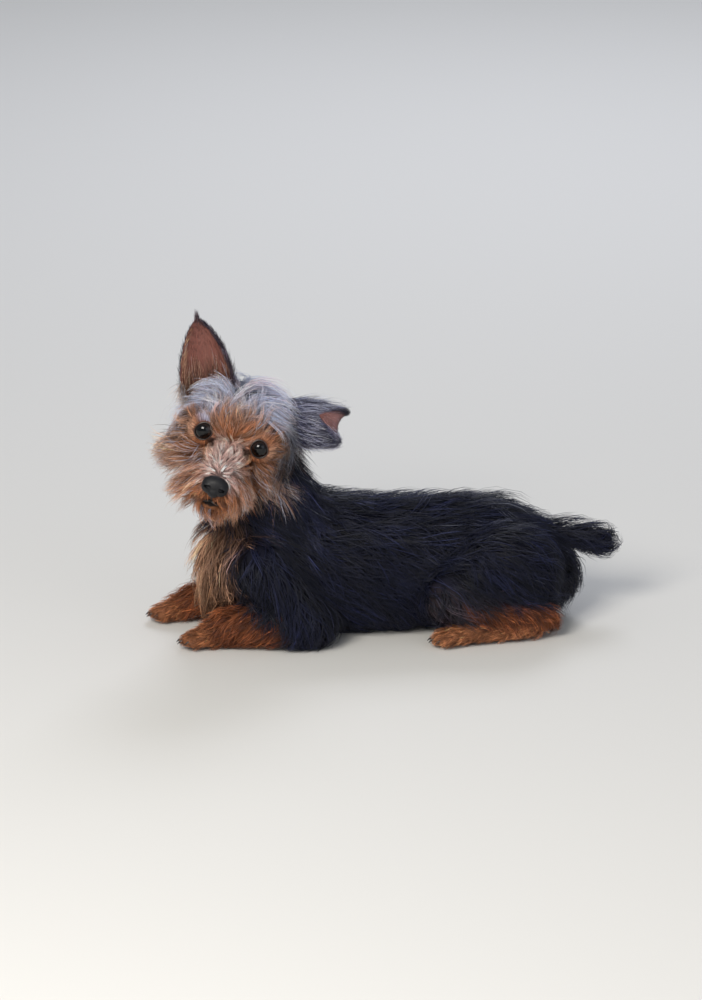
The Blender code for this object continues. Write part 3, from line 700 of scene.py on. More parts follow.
# %% [markdown]
# ## Ears
# An ear is a thin cupped leaf of leather. We lay it out as a flat sheet with two numbers: how far
# along it we are, from 0 at the root to 1 at the tip, and how far across, from -1 to 1. One
# function turns these into a place in space and the way the hollow faces. The leather uses it, and
# so does the ear's hair below. The right ear stands, and the tip of the left one is folded over.

# %% The ear's sheet
EAR_LENGTH = 5.6
FOLDED_ROWS = range(28, 40)


def ear_lines(base, along, hollow, fold, rows=48):
    """The sheet's middle line: a place, the way along and the way the hollow faces, on each row."""
    along = Vector(along).normalized()
    hollow = Vector(hollow)
    hollow = (hollow - along * hollow.dot(along)).normalized()
    across = along.cross(hollow)
    centre, lines = Vector(base), []
    for row in range(rows + 1):
        if row in FOLDED_ROWS and fold:
            turn = Matrix.Rotation(math.radians(fold) / len(FOLDED_ROWS), 3, across)
            along, hollow = turn @ along, turn @ hollow
        lines.append((*centre, *along, *hollow))
        centre += along * EAR_LENGTH / rows
    return np.array(lines)


# an ear's width and its middle line
EARS = {
    "right": (3.5, ear_lines((-2.35, 3.7, 0.9), (-0.41, -0.02, 0.91), (0.1, -0.95, 0.2), 0)),
    "left": (2.87, ear_lines((2.55, 3.7, 1.75), (0.99, 0, 0.02), (0.1, 0.8, -0.6), -165)),
}


def on_ear(which, along_share, across_share):
    """Places on an ear in the head's centimetres, and the way its hollow faces there."""
    width, lines = EARS[which]
    row = np.clip(along_share, 0, 1) * (len(lines) - 1)
    low = np.minimum(row.astype(int), len(lines) - 2)
    part = (row - low)[:, None]
    line = lines[low] * (1 - part) + lines[low + 1] * part
    middle, along, hollow = line[:, :3], line[:, 3:6], line[:, 6:]
    middle = middle + along * (np.maximum(along_share - 1, 0) * EAR_LENGTH)[:, None]
    share = np.clip(along_share, 0, 1)
    breadth = 0.82 + 0.18 * np.minimum(share / 0.35, 1)
    breadth = breadth * np.maximum(1 - share**2.4, 0.004) ** 0.8
    cup = np.radians(74 - 50 * share)
    radius = width / 2 * breadth / np.sin(cup)
    held = np.clip(across_share, -1, 1)
    angle = held * cup
    across = np.cross(along, hollow)
    sine, cosine = np.sin(angle)[:, None], np.cos(angle)[:, None]
    place = middle + across * radius[:, None] * sine + hollow * radius[:, None] * (1 - cosine)
    outward = across * cosine + hollow * sine
    normal = hollow * cosine - across * sine
    place = place + outward * ((across_share - held) * width / 2 * breadth)[:, None]
    return place, normal


# %% Ear leather


def ear_leather(which):
    """The inner and the outer side of an ear's sheet, a little apart, joined along the rim."""
    rows, columns = 60, 28
    along, across = np.meshgrid(
        np.linspace(0, 1, rows + 1), np.linspace(-1, 1, columns + 1), indexing="ij"
    )
    along, across = along.ravel(), across.ravel()
    place, normal = on_ear(which, along, across)
    thin = 0.025 + 0.05 * np.sqrt(np.clip(1 - across**2, 0, 1)) * np.clip(1.05 - along, 0, 1)
    sides = [place + normal * thin[:, None], place - normal * thin[:, None]]
    count = len(place)
    points = head_in_metres(np.concatenate(sides))
    faces = []
    for row in range(rows):
        for column in range(columns):
            a = row * (columns + 1) + column
            quad = (a, a + 1, a + columns + 2, a + columns + 1)
            faces.append(quad)
            faces.append(tuple(corner + count for corner in quad[::-1]))
    rim = [row * (columns + 1) for row in range(rows + 1)]
    rim += [rows * (columns + 1) + column for column in range(1, columns + 1)]
    rim += [row * (columns + 1) + columns for row in range(rows - 1, -1, -1)]
    rim += [column for column in range(columns - 1, 0, -1)]
    for a, b in zip(rim, rim[1:] + rim[:1]):
        faces.append((a, b, b + count, a + count))
    mesh = bpy.data.meshes.new(f"ear_leather_{which}")
    mesh.from_pydata(points.tolist(), [], faces)
    obj = bpy.data.objects.new(f"ear_leather_{which}", mesh)
    bpy.context.scene.collection.objects.link(obj)
    bm = bmesh.new()
    bm.from_mesh(mesh)
    bmesh.ops.recalc_face_normals(bm, faces=bm.faces)
    bm.to_mesh(mesh)
    bm.free()
    inside = np.tile(linear("74443a" if which == "right" else "86605f"), (count, 1))
    edge = np.maximum(smooth(0.55, 1.0, np.abs(across)), smooth(0.7, 1.0, along))
    inside = mix(inside, linear("5b2f26"), edge * 0.8)
    # painted shade: the inside darkens toward the ear's root, deep in its hollow
    inside = mix(inside, linear("3a1d18"), smooth(0.35, 0.05, along) * 0.9)
    outside = np.tile(BLUE_BLACK, (count, 1))
    paint(mesh, np.concatenate([inside, outside]))
    mesh.shade_smooth()
    return obj


# %% Both ears
material, tree, shader = new_material("thin ear leather", 0.6, Subsurface_Weight=0.12)
# the inside is nearly bare, reddish and soft to the light, the outside is dark under its hair
colour = add_node(tree, "ShaderNodeVertexColor", layer_name="coat_colour")
tree.links.new(colour.outputs["Color"], shader.inputs["Base Color"])
shader.inputs["Subsurface Radius"].default_value = (0.003, 0.001, 0.0006)
place = add_node(tree, "ShaderNodeTexCoord")
grain = add_node(
    tree, "ShaderNodeTexNoise", {"Vector": place.outputs["Object"], "Scale": 1500, "Detail": 2}
)
set_bump(tree, shader, grain.outputs["Fac"], 0.3, 0.0002)
for which in EARS:
    leather = ear_leather(which)
    leather.data.materials.append(material)
    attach(leather, "root")
    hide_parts(f"ear_{which}")
    print(leather.name, len(leather.data.polygons), "faces")

# %% [markdown]
# ## Claws
# Each toe ends in a short dark claw that curves down to the floor. A claw is a cone bent through a
# few rings, and one function makes all sixteen from the toes' own places, joined as one mesh.

# %% Claws
bm = bmesh.new()
paws = [(-13.7, -PAW_SPREAD, 0.72, 0.95), (-14.9, PAW_SPREAD, 0.72, 0.95)]
paws += [(2.6, side * LEG_SPREAD * 1.4, 0.66, 0.9) for side in (-1, 1)]
for x, y, z, reach in paws:
    for side, ahead in TOES:
        tip_of_toe = Vector((x - reach - ahead - 0.26, y + side * 0.44, z - 0.08))
        rings = []
        for step in range(6):
            t = step / 5
            centre = tip_of_toe + Vector((-0.42 * t, 0, 0.10 * t - 0.30 * t * t))
            wide = 0.115 * (1 - t) ** 0.7 + 0.012
            ring = []
            for corner in range(8):
                angle = math.tau * corner / 8
                lift = Vector((0, math.cos(angle) * wide * 0.8, math.sin(angle) * wide))
                ring.append(bm.verts.new(BODY @ ((centre + lift) * CM)))
            rings.append(ring)
        for first, second in zip(rings, rings[1:]):
            for i in range(8):
                bm.faces.new((first[i], second[i], second[i - 7], first[i - 7]))
        bm.faces.new(rings[0])
        bm.faces.new(rings[-1][::-1])
bmesh.ops.recalc_face_normals(bm, faces=bm.faces)
claws = object_of(bm, "claws")
claws.data.shade_smooth()
material, tree, shader = new_material("dark horn claw", 0.35, Coat_Weight=0.2)
# hard dark horn, a little translucent at the tip in life
shader.inputs["Base Color"].default_value = rgba("1c1716")
claws.data.materials.append(material)
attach(claws, "root")
print("claws:", len(claws.data.polygons), "faces")

# %% [markdown]
# ## A map of the skin
# So that the coat can be baked to a picture, each tuft needs a small patch of its own on a map.
# The skin's map is made from its own shape: every face belongs to a chart, which is one mass seen
# along one of six directions, whichever its normal is nearest. The charts are then set on shelves,
# tallest first, as one packs boxes.

# %% Sorting the skin's faces into charts
mesh = skin.data
count = len(mesh.polygons)
totals = np.empty(count, np.int32)
mesh.polygons.foreach_get("loop_total", totals)
flat = np.empty(count * 3, np.float32)
mesh.polygons.foreach_get("normal", flat)
face_normal = flat.reshape(-1, 3).astype(float)
mesh.polygons.foreach_get("center", flat)
face_middle = to_body(flat.reshape(-1, 3).astype(float))
face_axis = np.abs(face_normal).argmax(1)
face_facing = face_normal[np.arange(count), face_axis] > 0
quarter = (face_middle[:, 0] > -4) * 2 + (face_middle[:, 1] > 0)
chart = ((owners(face_middle) * 4 + quarter) * 3 + face_axis) * 2 + face_facing
loop_chart = np.repeat(chart, totals)
loop_axis = np.repeat(face_axis, totals)
loop_vertex = np.empty(len(mesh.loops), np.int32)
mesh.loops.foreach_get("vertex_index", loop_vertex)
loop_point = skin_points[loop_vertex]
seen = np.where(
    loop_axis[:, None] == 0,
    loop_point[:, 1:],
    np.where(loop_axis[:, None] == 1, loop_point[:, ::2], loop_point[:, :2]),
)

# %% Packing the charts
GAP, SPARE = 0.15, 1.08  # centimetres between charts, and the map's width over the least it needs
boxes = []
for number in np.unique(chart):
    inside = seen[loop_chart == number]
    boxes.append((number, inside.min(0), inside.max(0) - inside.min(0) + GAP))
boxes.sort(key=lambda box: -box[2][1])
row_width = math.sqrt(sum(size.prod() for _, _, size in boxes)) * SPARE
offset, corner, shelf = {}, np.zeros(2), 0.0
for number, start, size in boxes:
    if corner[0] + size[0] > row_width:
        corner = np.array((0.0, corner[1] + shelf))
        shelf = 0.0
    offset[number] = corner - start
    corner = corner + np.array((size[0], 0))
    shelf = max(shelf, size[1])
side = max(row_width, corner[1] + shelf)
loop_uv = (seen + np.array([offset[number] for number in loop_chart])) / side
skin.data.uv_layers.new(name="OFBake").data.foreach_set("uv", loop_uv.astype(np.float32).ravel())
print("map:", len(boxes), "charts on", round(side), "cm")

# %% The skin as arrays


def skin_arrays():
    """The skin's triangles: corners, vertex normals and map places, as arrays."""
    mesh = skin.data
    mesh.calc_loop_triangles()
    count = len(mesh.loop_triangles)
    loops, corners = np.empty(count * 3, np.int32), np.empty(count * 3, np.int32)
    mesh.loop_triangles.foreach_get("loops", loops)
    mesh.loop_triangles.foreach_get("vertices", corners)
    normals = np.empty(len(mesh.vertices) * 3, np.float32)
    mesh.vertices.foreach_get("normal", normals)
    uv = np.empty(len(mesh.loops) * 2, np.float32)
    mesh.uv_layers["OFBake"].data.foreach_get("uv", uv)
    return corners.reshape(-1, 3), normals.reshape(-1, 3).astype(float), uv.reshape(-1, 2)[
        loops.reshape(-1, 3)
    ]


tri_corners, skin_normals, tri_uv = skin_arrays()
bm = bmesh.new()
bm.from_mesh(skin.data)
bm.transform(Matrix.Scale(1 / CM, 4) @ Matrix.Translation(-SHIFT))
skin_tree = BVHTree.FromBMesh(bm)
bm.free()
corner_points = skin_points[tri_corners]
edges = corner_points[:, 1:] - corner_points[:, :1]
tri_area = np.linalg.norm(np.cross(edges[:, 0], edges[:, 1]), axis=1) / 2
tri_middle = corner_points.mean(1)
print("skin area:", round(tri_area.sum()), "square centimetres")

# %% [markdown]
# ## What kind of hair grows where
# A young dog's coat is short on the feet and on the bridge of the nose, and long on the body, crown
# and beard. Each kind below has its length, lift off the skin, how closely it hugs the body and how
# much it hangs, in centimetres and shares. The first number is strands to a square centimetre.
# Real fur has thousands to a square centimetre, so each strand here stands for a thin lock.

# %% Kinds of hair
KINDS = {
    # kind: density, length, width, lift, hug, fall, gather, wave
    "back": (33, 4.6, 0.066, 0.95, 1.0, 0.0, 0.62, 0.12),
    "belly": (28, 3.4, 0.068, 0.75, 1.0, 0.1, 0.4, 0.05),
    "chest": (46, 3.5, 0.052, 1.35, 0.7, 0.2, 0.6, 0.10),
    "neck": (38, 3.8, 0.060, 0.9, 0.95, 0.05, 0.5, 0.06),
    "tail": (62, 3.2, 0.054, 1.0, 0.8, 0.1, 0.5, 0.09),
    "shoulder": (34, 3.6, 0.062, 0.85, 0.95, 0.1, 0.5, 0.06),
    "leg": (46, 1.7, 0.046, 0.45, 0.9, 0.1, 0.5, 0.06),
    "foot": (95, 0.75, 0.032, 0.2, 0.9, 0.0, 0.4, 0.03),
    "bridge": (280, 0.95, 0.023, 0.26, 0.85, 0.0, 0.55, 0.02),
    "face": (210, 1.5, 0.025, 0.42, 0.8, 0.0, 0.6, 0.04),
    "brow": (140, 2.4, 0.028, 0.6, 0.55, 0.05, 0.7, 0.06),
    "crown": (105, 5.4, 0.034, 1.35, 0.7, 0.12, 0.7, 0.17),
    "curtain": (90, 5.2, 0.034, 1.1, 0.55, 0.5, 0.8, 0.12),
    "temple": (75, 3.4, 0.029, 1.0, 0.4, 0.2, 0.7, 0.10),
    "cheek": (105, 3.2, 0.031, 1.0, 0.32, 0.25, 0.7, 0.09),
    "moustache": (140, 2.9, 0.029, 1.1, 0.25, 0.4, 0.7, 0.09),
    "lip": (340, 1.1, 0.022, 0.35, 0.7, 0.3, 0.6, 0.03),
    "beard": (125, 2.6, 0.029, 1.0, 0.25, 0.6, 0.7, 0.12),
    "nape": (46, 4.4, 0.048, 1.0, 0.85, 0.15, 0.6, 0.08),
    "none": (0, 1.0, 0.03, 0.1, 1.0, 0.0, 0.3, 0.0),
}
NAMES = list(KINDS)
TABLE = np.array([KINDS[name] for name in NAMES], float)
NUMBER = {name: index for index, name in enumerate(NAMES)}


# %% Bare places
# ovals seen from the dog's front: middle x and z, half width, half height, and the y they end at
BARE_SKIN = (
    (EYE.x, 0.02, 0.62, 0.60, 2.0),
    (-EYE.x, 0.02, 0.62, 0.60, 2.0),
    (0, -2.15, 0.95, 0.66, -3.8),
    (0, -3.58, 0.7, 0.2, -2.2),
)
# no strand from elsewhere may cross these smaller ones: both eyes, the nose and the mouth
KEPT_CLEAR = (
    (EYE.x, 0, 0.53, 0.50, 1.5),
    (-EYE.x, 0, 0.53, 0.50, 1.5),
    (0, -2.15, 0.84, 0.55, -3.6),
    (0, -3.6, 0.7, 0.16, -2.2),
)


def in_ovals(ovals, x, y, z):
    """Whether places in the head's centimetres lie in one of the ovals."""
    inside = np.zeros(x.shape, bool)
    for middle_x, middle_z, half_width, half_height, back in ovals:
        away = np.hypot((x - middle_x) / half_width, (z - middle_z) / half_height)
        inside |= (away < 1) & (y < back)
    return inside


# %% The kind of hair at a place


def kinds_of(points, normals, owner):
    """The kind of hair at places in the body's centimetres."""
    x, _, z = points.T
    up = normals[:, 2]
    kind = np.full(len(x), NUMBER["back"])

    def put(where, name):
        kind[where] = NUMBER[name]

    torso = is_in(owner, "torso")
    put(torso & (z < 2.6), "belly")
    put(torso & (x < -11.2), "chest")
    put(is_in(owner, "neck"), "neck")
    put(is_in(owner, "neck") & (x < -11.6) & (z < 11), "chest")
    put(is_in(owner, "tail"), "tail")
    put(is_in(owner, "arm"), "shoulder")
    put(is_in(owner, "thigh"), "shoulder")
    put(is_in(owner, "forearm", "shank"), "leg")
    put(is_in(owner, "paw", "foot"), "foot")
    put((z < 0.35) & (up < -0.2), "none")
    head = is_in(owner, "head")
    hx, hy, hz = to_head(points).T
    side = np.abs(hx)
    put(head, "cheek")
    put(head & (hy < 1.9) & (hz > -1.7), "face")
    put(head & (hy < -0.7) & (hz > -1.9) & (side < 1.25), "bridge")
    put(head & (hy < 1.9) & (hz > -1.7) & (side > 1.3) & (hz < -0.7), "cheek")
    put(head & (hy < 1.9) & (hz > -1.0) & (side > 2.75), "cheek")
    put(head & (hy < 0.9) & (hz <= -1.7) & (side > 0.4), "moustache")
    put(head & (hy < -0.3) & (hz <= -1.35) & (side > 0.9), "moustache")
    put(head & (hz < -2.85) & (hy < 1.8) & ((hz < -3.5) | (hy > -1.6)), "beard")
    put(head & (hz > 0.95) & (hy < 0.9) & (side > 0.4), "brow")
    put(head & (hz > 1.3) & (hy > 0.7), "crown")
    put(head & (hx < -2.3) & (hy > 0.9) & (hz > -0.9), "temple")
    put(head & (hx > 2.1) & (hy > 0.9) & (hz > -1.6), "curtain")
    put(head & (hy > 3.9) & (hz > 1.2), "crown")
    put(head & (hy > 4.2) & (hz <= 1.2), "nape")
    put(head & (hy < -2.6) & (side < 0.85) & (hz > -3.5) & (hz < -1.5), "lip")
    put(head & in_ovals(BARE_SKIN, hx, hy, hz), "none")
    return kind


# %% [markdown]
# ## Which way the hair lies
# On the body hair runs from the shoulders back to the tail and down the flanks. On a terrier's face
# it fans out from a point just over the nose, and on the crown it parts in the middle. Each rule
# gives a direction for a place, and the marching below presses it against the skin.

# %% The lie of the coat
# the point over the nose, in the head's centimetres, from which the face's hair fans out
FAN = np.array((0.0, -3.4, -1.45))


def unit(vectors):
    return vectors / np.maximum(np.linalg.norm(vectors, axis=1, keepdims=True), 1e-9)


def lie(points, normals, kind):
    """The way the hair lies at places in the body's centimetres, before it meets the skin."""
    x = points[:, 0]
    side = np.abs(normals[:, 1])
    chest = 1 - smooth(-12.5, -8.5, x)
    rump = smooth(7, 11, x)
    way = np.zeros_like(points)
    way[:, 0] = 1 - 0.95 * chest
    way[:, 2] = -0.1 - 0.65 * side - 1.2 * chest - 0.5 * rump

    def put(names, value):
        where = np.isin(kind, [NUMBER[name] for name in names])
        way[where] = value[where] if getattr(value, "ndim", 0) == 2 else value

    put(["neck", "nape"], np.stack([0 * x + 0.7, normals[:, 1] * 0.2, 0 * x - 0.75], 1))
    put(["chest"], np.stack([-0.35 + 0 * x, points[:, 1] * 0.18, 0 * x - 1], 1))
    put(["tail"], np.stack([0 * x + 1, normals[:, 1] * 0.3, normals[:, 2] * 0.15 - 0.22], 1))
    ahead = np.where(x < -3, -1.0, 1.0)
    put(["shoulder"], np.stack([np.where(x < -3, 0.15, 0.75), 0 * x, 0 * x - 0.8], 1))
    put(["leg"], np.stack([ahead * 0.75, 0 * x, 0 * x - 0.6], 1))
    put(["foot"], np.array((-1, 0, -0.3)))

    local = to_head(points)
    fan = unit(local - FAN)
    away = unit(fan * np.array((1.5, 1, 1)))
    parting = np.tanh((local[:, 0] + 0.5) * 2.5)
    for names, hang, extra in (
        (["bridge", "face"], 0.0, (0, 0, 0.1)),
        (["brow"], 0.05, (0, 0, 0.55)),
        (["lip"], 0.2, (0, 0, -0.3)),
        (["beard"], 1.3, (0, -0.15, 0)),
    ):
        put(names, turned(away + np.array(extra)) + np.array((0, 0, -hang)))
    outward = np.sign(local[:, 0]) * smooth(0.1, 0.9, np.abs(local[:, 0]))
    hang = np.stack([0 * x, 0 * x, -0.4 * smooth(-1.5, 1.0, local[:, 0])], 1)
    down = -0.3 - 0.35 * smooth(0.5, -0.5, local[:, 0])
    put(["cheek"], turned(np.stack([outward, 0.15 + 0 * x, down], 1)) + hang)
    put(["moustache"], turned(np.stack([outward, 0.1 + 0 * x, down - 0.1], 1)) + hang)
    swept = away * np.array((0.6, 0.45, 0.3))
    swept[:, 0] += parting * 1.1
    put(["crown"], turned(swept) + np.array((0, 0, -0.1)))
    hanging = np.stack([0.35 + 0 * x, 0.15 + 0 * x, 0 * x], 1)
    put(["curtain"], turned(hanging) + np.array((0, 0, -0.9)))
    out = np.stack([np.sign(local[:, 0]) * 1.0, 0 * x + 0.35, 0 * x + 0.05], 1)
    put(["temple"], turned(out) + np.array((0, 0, -0.25)))
    return unit(way)


# %% [markdown]
# ## Marching the guides
# A guide is the path of one lock. It starts in the skin and takes short steps along the lie of the
# coat. After each step it is drawn back to a set height over the skin, more for hair that hugs the
# body and less for a beard that stands free. Nothing goes under the floor. A few thousand guides
# carry the shape, and the strands then follow the nearest guide, which is far quicker.

# %% Random places on the skin
STEPS = 7  # of a guide, from its root to its tip


def sample(rate):
    """Random places on the skin. rate is a number per square centimetre for each triangle."""
    weight = tri_area * rate
    count = int(weight.sum())
    chosen = rng.choice(len(tri_area), size=count, p=weight / weight.sum())
    a, b = rng.random((2, count))
    flip = a + b > 1
    a[flip], b[flip] = 1 - a[flip], 1 - b[flip]
    shares = np.stack([1 - a - b, a, b], 1)[:, :, None]
    place = (corner_points[chosen] * shares).sum(1)
    normal = unit((skin_normals[tri_corners[chosen]] * shares).sum(1))
    return place, normal, (tri_uv[chosen] * shares).sum(1)


def nearest_on_skin(points):
    """The skin's nearest place to each point, and the normal there."""
    found = [skin_tree.find_nearest(Vector(point))[:2] for point in points]
    return np.array([place[:] for place, _ in found]), np.array([way[:] for _, way in found])


# %% The guides' roots
tri_owner = owners(tri_middle)
tri_normal = unit(skin_normals[tri_corners].mean(1))
tri_kind = kinds_of(tri_middle, tri_normal, tri_owner)
density = TABLE[tri_kind, 0]
guide_rate = np.where(tri_owner == 0, np.where(density > 200, 30, 11), 9)
guide_rate = np.where(np.isin(tri_kind, [NUMBER["foot"], NUMBER["leg"]]), 20, guide_rate)
guide_rate = np.where(density > 0, guide_rate, 0)
guide_root, guide_normal, _ = sample(guide_rate)
guide_owner = owners(guide_root)
guide_kind = kinds_of(guide_root, guide_normal, guide_owner)
values = TABLE[guide_kind][:, 1:]

# %% The guides' numbers
NEIGHBOURS = 9  # guides whose numbers are averaged, so that one kind of hair runs into the next
tree_of_guides = KDTree(len(guide_root))
for index, place in enumerate(guide_root):
    tree_of_guides.insert(place, index)
tree_of_guides.balance()
near = [[i for _, i, _ in tree_of_guides.find_n(place, NEIGHBOURS)] for place in guide_root]
near = np.array(near)
heading = lie(guide_root, guide_normal, guide_kind)
for _ in range(2):
    values = values[near].mean(1)
    heading = unit(heading[near].mean(1))
length, _, lift, hug, fall, gather, wave = values.T
length = length * rng.uniform(0.8, 1.15, len(length))
# the head is tilted, so on its lower side the cheek's hair stands out from the face
lower_face = np.isin(guide_kind, [NUMBER["cheek"], NUMBER["moustache"]])
guide_local = to_head(guide_root)
low_side = lower_face & (guide_local[:, 0] < 0)
length = length * np.where(low_side, np.where(guide_local[:, 2] < -0.9, 1.2, 0.72), 1.0)
hug = hug * np.where(low_side & (guide_local[:, 2] < -1.0), 0.4, 1.0)
fall = fall * np.where(low_side, 0.3, 1.0)
lift = lift * rng.uniform(0.35, 1.05, len(length))
turn = rng.normal(0, 0.16, len(length))
guide_lock = rng.normal(0, 1, len(length))

# %% The march
ROOT_DEPTH, FLOOR_GAP = 0.06, 0.05
place, normal = guide_root.copy(), guide_normal.copy()
path, normals = [place - normal * ROOT_DEPTH], [normal]
for step in range(1, STEPS + 1):
    t = step / STEPS
    way = unit(heading * 0.65 + lie(place, normal, guide_kind) * 0.35)
    way = way + np.cross(normal, way) * turn[:, None]
    way = unit(way - normal * (way * normal).sum(1, keepdims=True) * hug[:, None])
    way[:, 2] -= fall * t
    way = unit(way)
    ahead = place + way * (length / STEPS)[:, None]
    surface, normal = nearest_on_skin(ahead)
    height = lift * smooth(-0.25, 0.9, np.full(len(length), t))
    lifted = surface + normal * height[:, None]
    new = ahead * (1 - hug[:, None]) + lifted * hug[:, None]
    depth = ((new - surface) * normal).sum(1)
    new += normal * np.maximum(0.08 * t + 0.02 - depth, 0)[:, None]
    new[:, 2] = np.maximum(new[:, 2], FLOOR_GAP)
    heading = unit(new - place)
    place = new
    path.append(place)
    normals.append(normal)
path, normals = np.stack(path, 1), np.stack(normals, 1)
print("guides:", len(path), "kinds:", {n: int((guide_kind == i).sum()) for n, i in NUMBER.items()})

# %% [markdown]
# ## Strands
# Each strand is a long thin wedge with three sides that tapers to a point. It takes the path of its
# guide, moved to its own root, and is drawn a little toward the guide's tip, so that the coat
# gathers into locks. A random wave and length break up the pattern. All strands of a region are
# written into one mesh from arrays, which takes a moment where a loop over faces takes minutes.

# %% The shape of a strand
STRAND_SHARE = 0.9
PATCH = 0.003  # the side of each strand's patch on the map, as a share of the map
FLATNESS = 0.55  # a strand's thickness over its width


def strand_axes(centres, facing):
    """Each ring's side and its up, square to the strand. facing is roughly the way up."""
    forward = np.gradient(centres, axis=1)
    forward /= np.maximum(np.linalg.norm(forward, axis=2, keepdims=True), 1e-9)
    across = np.cross(forward, facing)
    across /= np.maximum(np.linalg.norm(across, axis=2, keepdims=True), 1e-9)
    return across, np.cross(across, forward)


def taper(rings):
    """A strand's width on each ring, as a share, thickest near its root and 0 at its tip."""
    t = np.linspace(0, 1, rings)
    return np.append(np.interp(t[:-1], (0, 0.25, 1), (0.8, 1.0, 0.35)), 0)


def strand_points(centres, across, up, width):
    """Three corners round each ring, and the tip, for each strand."""
    count, rings, _ = centres.shape
    corners = []
    for angle in np.radians((90, 210, 330)):
        offset = across * math.cos(angle) + up * (math.sin(angle) * FLATNESS)
        corners.append(centres[:, :-1] + offset[:, :-1] * width[:, :-1, None] * 0.5)
    points = np.stack(corners, 2).reshape(count, (rings - 1) * 3, 3)
    return np.concatenate([points, centres[:, -1:]], 1)


def strand_faces(body):
    """One strand's triangles, for so many rings of three corners and a tip."""
    faces = [(2, 1, 0)]
    for ring in range(body - 1):
        for i in range(3):
            a, b = ring * 3 + i, ring * 3 + (i + 1) % 3
            faces += [(a, b, b + 3), (a, b + 3, a + 3)]
    last = (body - 1) * 3
    faces += [(last + i, last + (i + 1) % 3, body * 3) for i in range(3)]
    return np.array(faces, np.int32)


# %% All strands of a region in one mesh


def strand_mesh(name, centres, across, up, width, colours, spots, material):
    """centres is (strands, rings, 3) with the tip as its last ring. width is for each ring."""
    count, rings, _ = centres.shape
    body = rings - 1
    each = body * 3 + 1
    points, faces = strand_points(centres, across, up, width), strand_faces(body)
    loops = (faces[None] + (np.arange(count, dtype=np.int32) * each)[:, None, None]).reshape(-1)
    mesh = bpy.data.meshes.new(name)
    mesh.vertices.add(count * each)
    world = points.reshape(-1, 3) * CM + np.array(SHIFT)
    mesh.vertices.foreach_set("co", world.astype(np.float32).ravel())
    mesh.loops.add(len(loops))
    mesh.loops.foreach_set("vertex_index", loops)
    mesh.polygons.add(len(loops) // 3)
    mesh.polygons.foreach_set("loop_start", np.arange(0, len(loops), 3, dtype=np.int32))
    mesh.polygons.foreach_set("loop_total", np.full(len(loops) // 3, 3, np.int32))
    mesh.update(calc_edges=True)
    mesh.shade_smooth()
    per_vertex = np.repeat(colours[:, :-1], 3, axis=1)
    per_vertex = np.concatenate([per_vertex, colours[:, -1:]], 1)
    paint(mesh, per_vertex.reshape(-1, 3))
    along = np.concatenate([np.repeat(np.arange(body) / body, 3), [1.0]])
    around = np.concatenate([np.tile((0.0, 0.5, 1.0), body), [0.5]])
    patch = (np.stack([around, along], 1) - 0.5) * PATCH
    uv = (spots[:, None] + patch[None]).reshape(-1, 2)
    layer = mesh.uv_layers.new(name="OFBake")
    layer.data.foreach_set("uv", uv[loops].astype(np.float32).ravel())
    mesh.materials.append(material)
    obj = bpy.data.objects.new(name, mesh)
    bpy.context.scene.collection.objects.link(obj)
    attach(obj, "root")
    return len(loops) // 3


# %% [markdown]
# ## The colours of a strand
# Fur is coloured by the lock and by the hair. Locks differ from each other, the hairs in one lock
# differ a little, roots are darker because less light reaches them, and some hairs have turned
# silver. The tables give these shares for each kind of hair, so that one of them can be changed
# without touching the rest.

# %% Tones by kind of hair
# painted shade at the roots: how much darker each kind's roots are, as less light reaches them
ROOT_SHADE = {"bridge": 0.2, "face": 0.45, "brow": 0.45, "crown": 0.5, "curtain": 0.6}
ROOT_SHADE.update({"temple": 0.7, "cheek": 0.65, "moustache": 0.6, "beard": 0.7})
SILVER_SHARE = {"crown": 0.8, "curtain": 0.26, "temple": 0.45, "brow": 0.35, "cheek": 0.3}
SILVER_SHARE.update({"nape": 0.2, "moustache": 0.22, "beard": 0.25, "neck": 0.1, "back": 0.08})
SILVER_SHARE["tail"] = 0.1
PALE_TIP = {"moustache": 0.55, "beard": 0.4, "cheek": 0.6, "brow": 0.6, "face": 0.5, "bridge": 0.5}
SILVER_HAIR, CROWN_BROWN = linear("dbe2fb"), linear("9a7763")
# painted sheen: a cool blue tint added to the black strands, growing toward the tips, in place of
# the blue highlights on a black coat
PAINTED_BLUE_SHEEN = np.array((0.004, 0.006, 0.011))
BLACK_BELOW = 0.12  # a colour whose three channels add up to less counts as black


def by_kind(kind, table, usual=0.0):
    """A table's value for each strand's kind, or the usual one."""
    values = np.full(len(kind), usual)
    for word, value in table.items():
        values[kind == NUMBER[word]] = value
    return values


def hair_colours(root_colour, silver, root_shade, rings, lock, pale=0.0):
    """A strand's colour on each ring. lock is one random number, shared by the hairs of a lock."""
    count = len(root_colour)
    share = np.linspace(0, 1, rings)[None, :, None]
    level = np.exp(rng.normal(0, 0.3, (count, 1, 1)) + lock[:, None, None] * 0.5)
    tone = root_colour[:, None] * level
    drawn = rng.random((count, 1, 1)) * 0.6 + (0.5 + lock[:, None, None] * 0.2) * 0.4
    light = (silver[:, None, None] > drawn) * 0.8
    bright = np.where(root_colour.sum(1) < BLACK_BELOW, 0.14, 1.0)[:, None, None]
    tone = tone * (1 - light) + SILVER_HAIR * bright * light
    # painted shade: the root is darker, as less light reaches it
    shade = 1 - root_shade[:, None, None] * (1 - share) ** 1.5
    pale = np.reshape(pale, (-1, 1, 1)) * share**2 * rng.random((count, 1, 1)) * 1.6
    tone = tone * (1 - pale) + CREAM * pale
    tip = 1 + 0.35 * share**2
    return np.clip(tone * shade * tip, 0, 0.95)


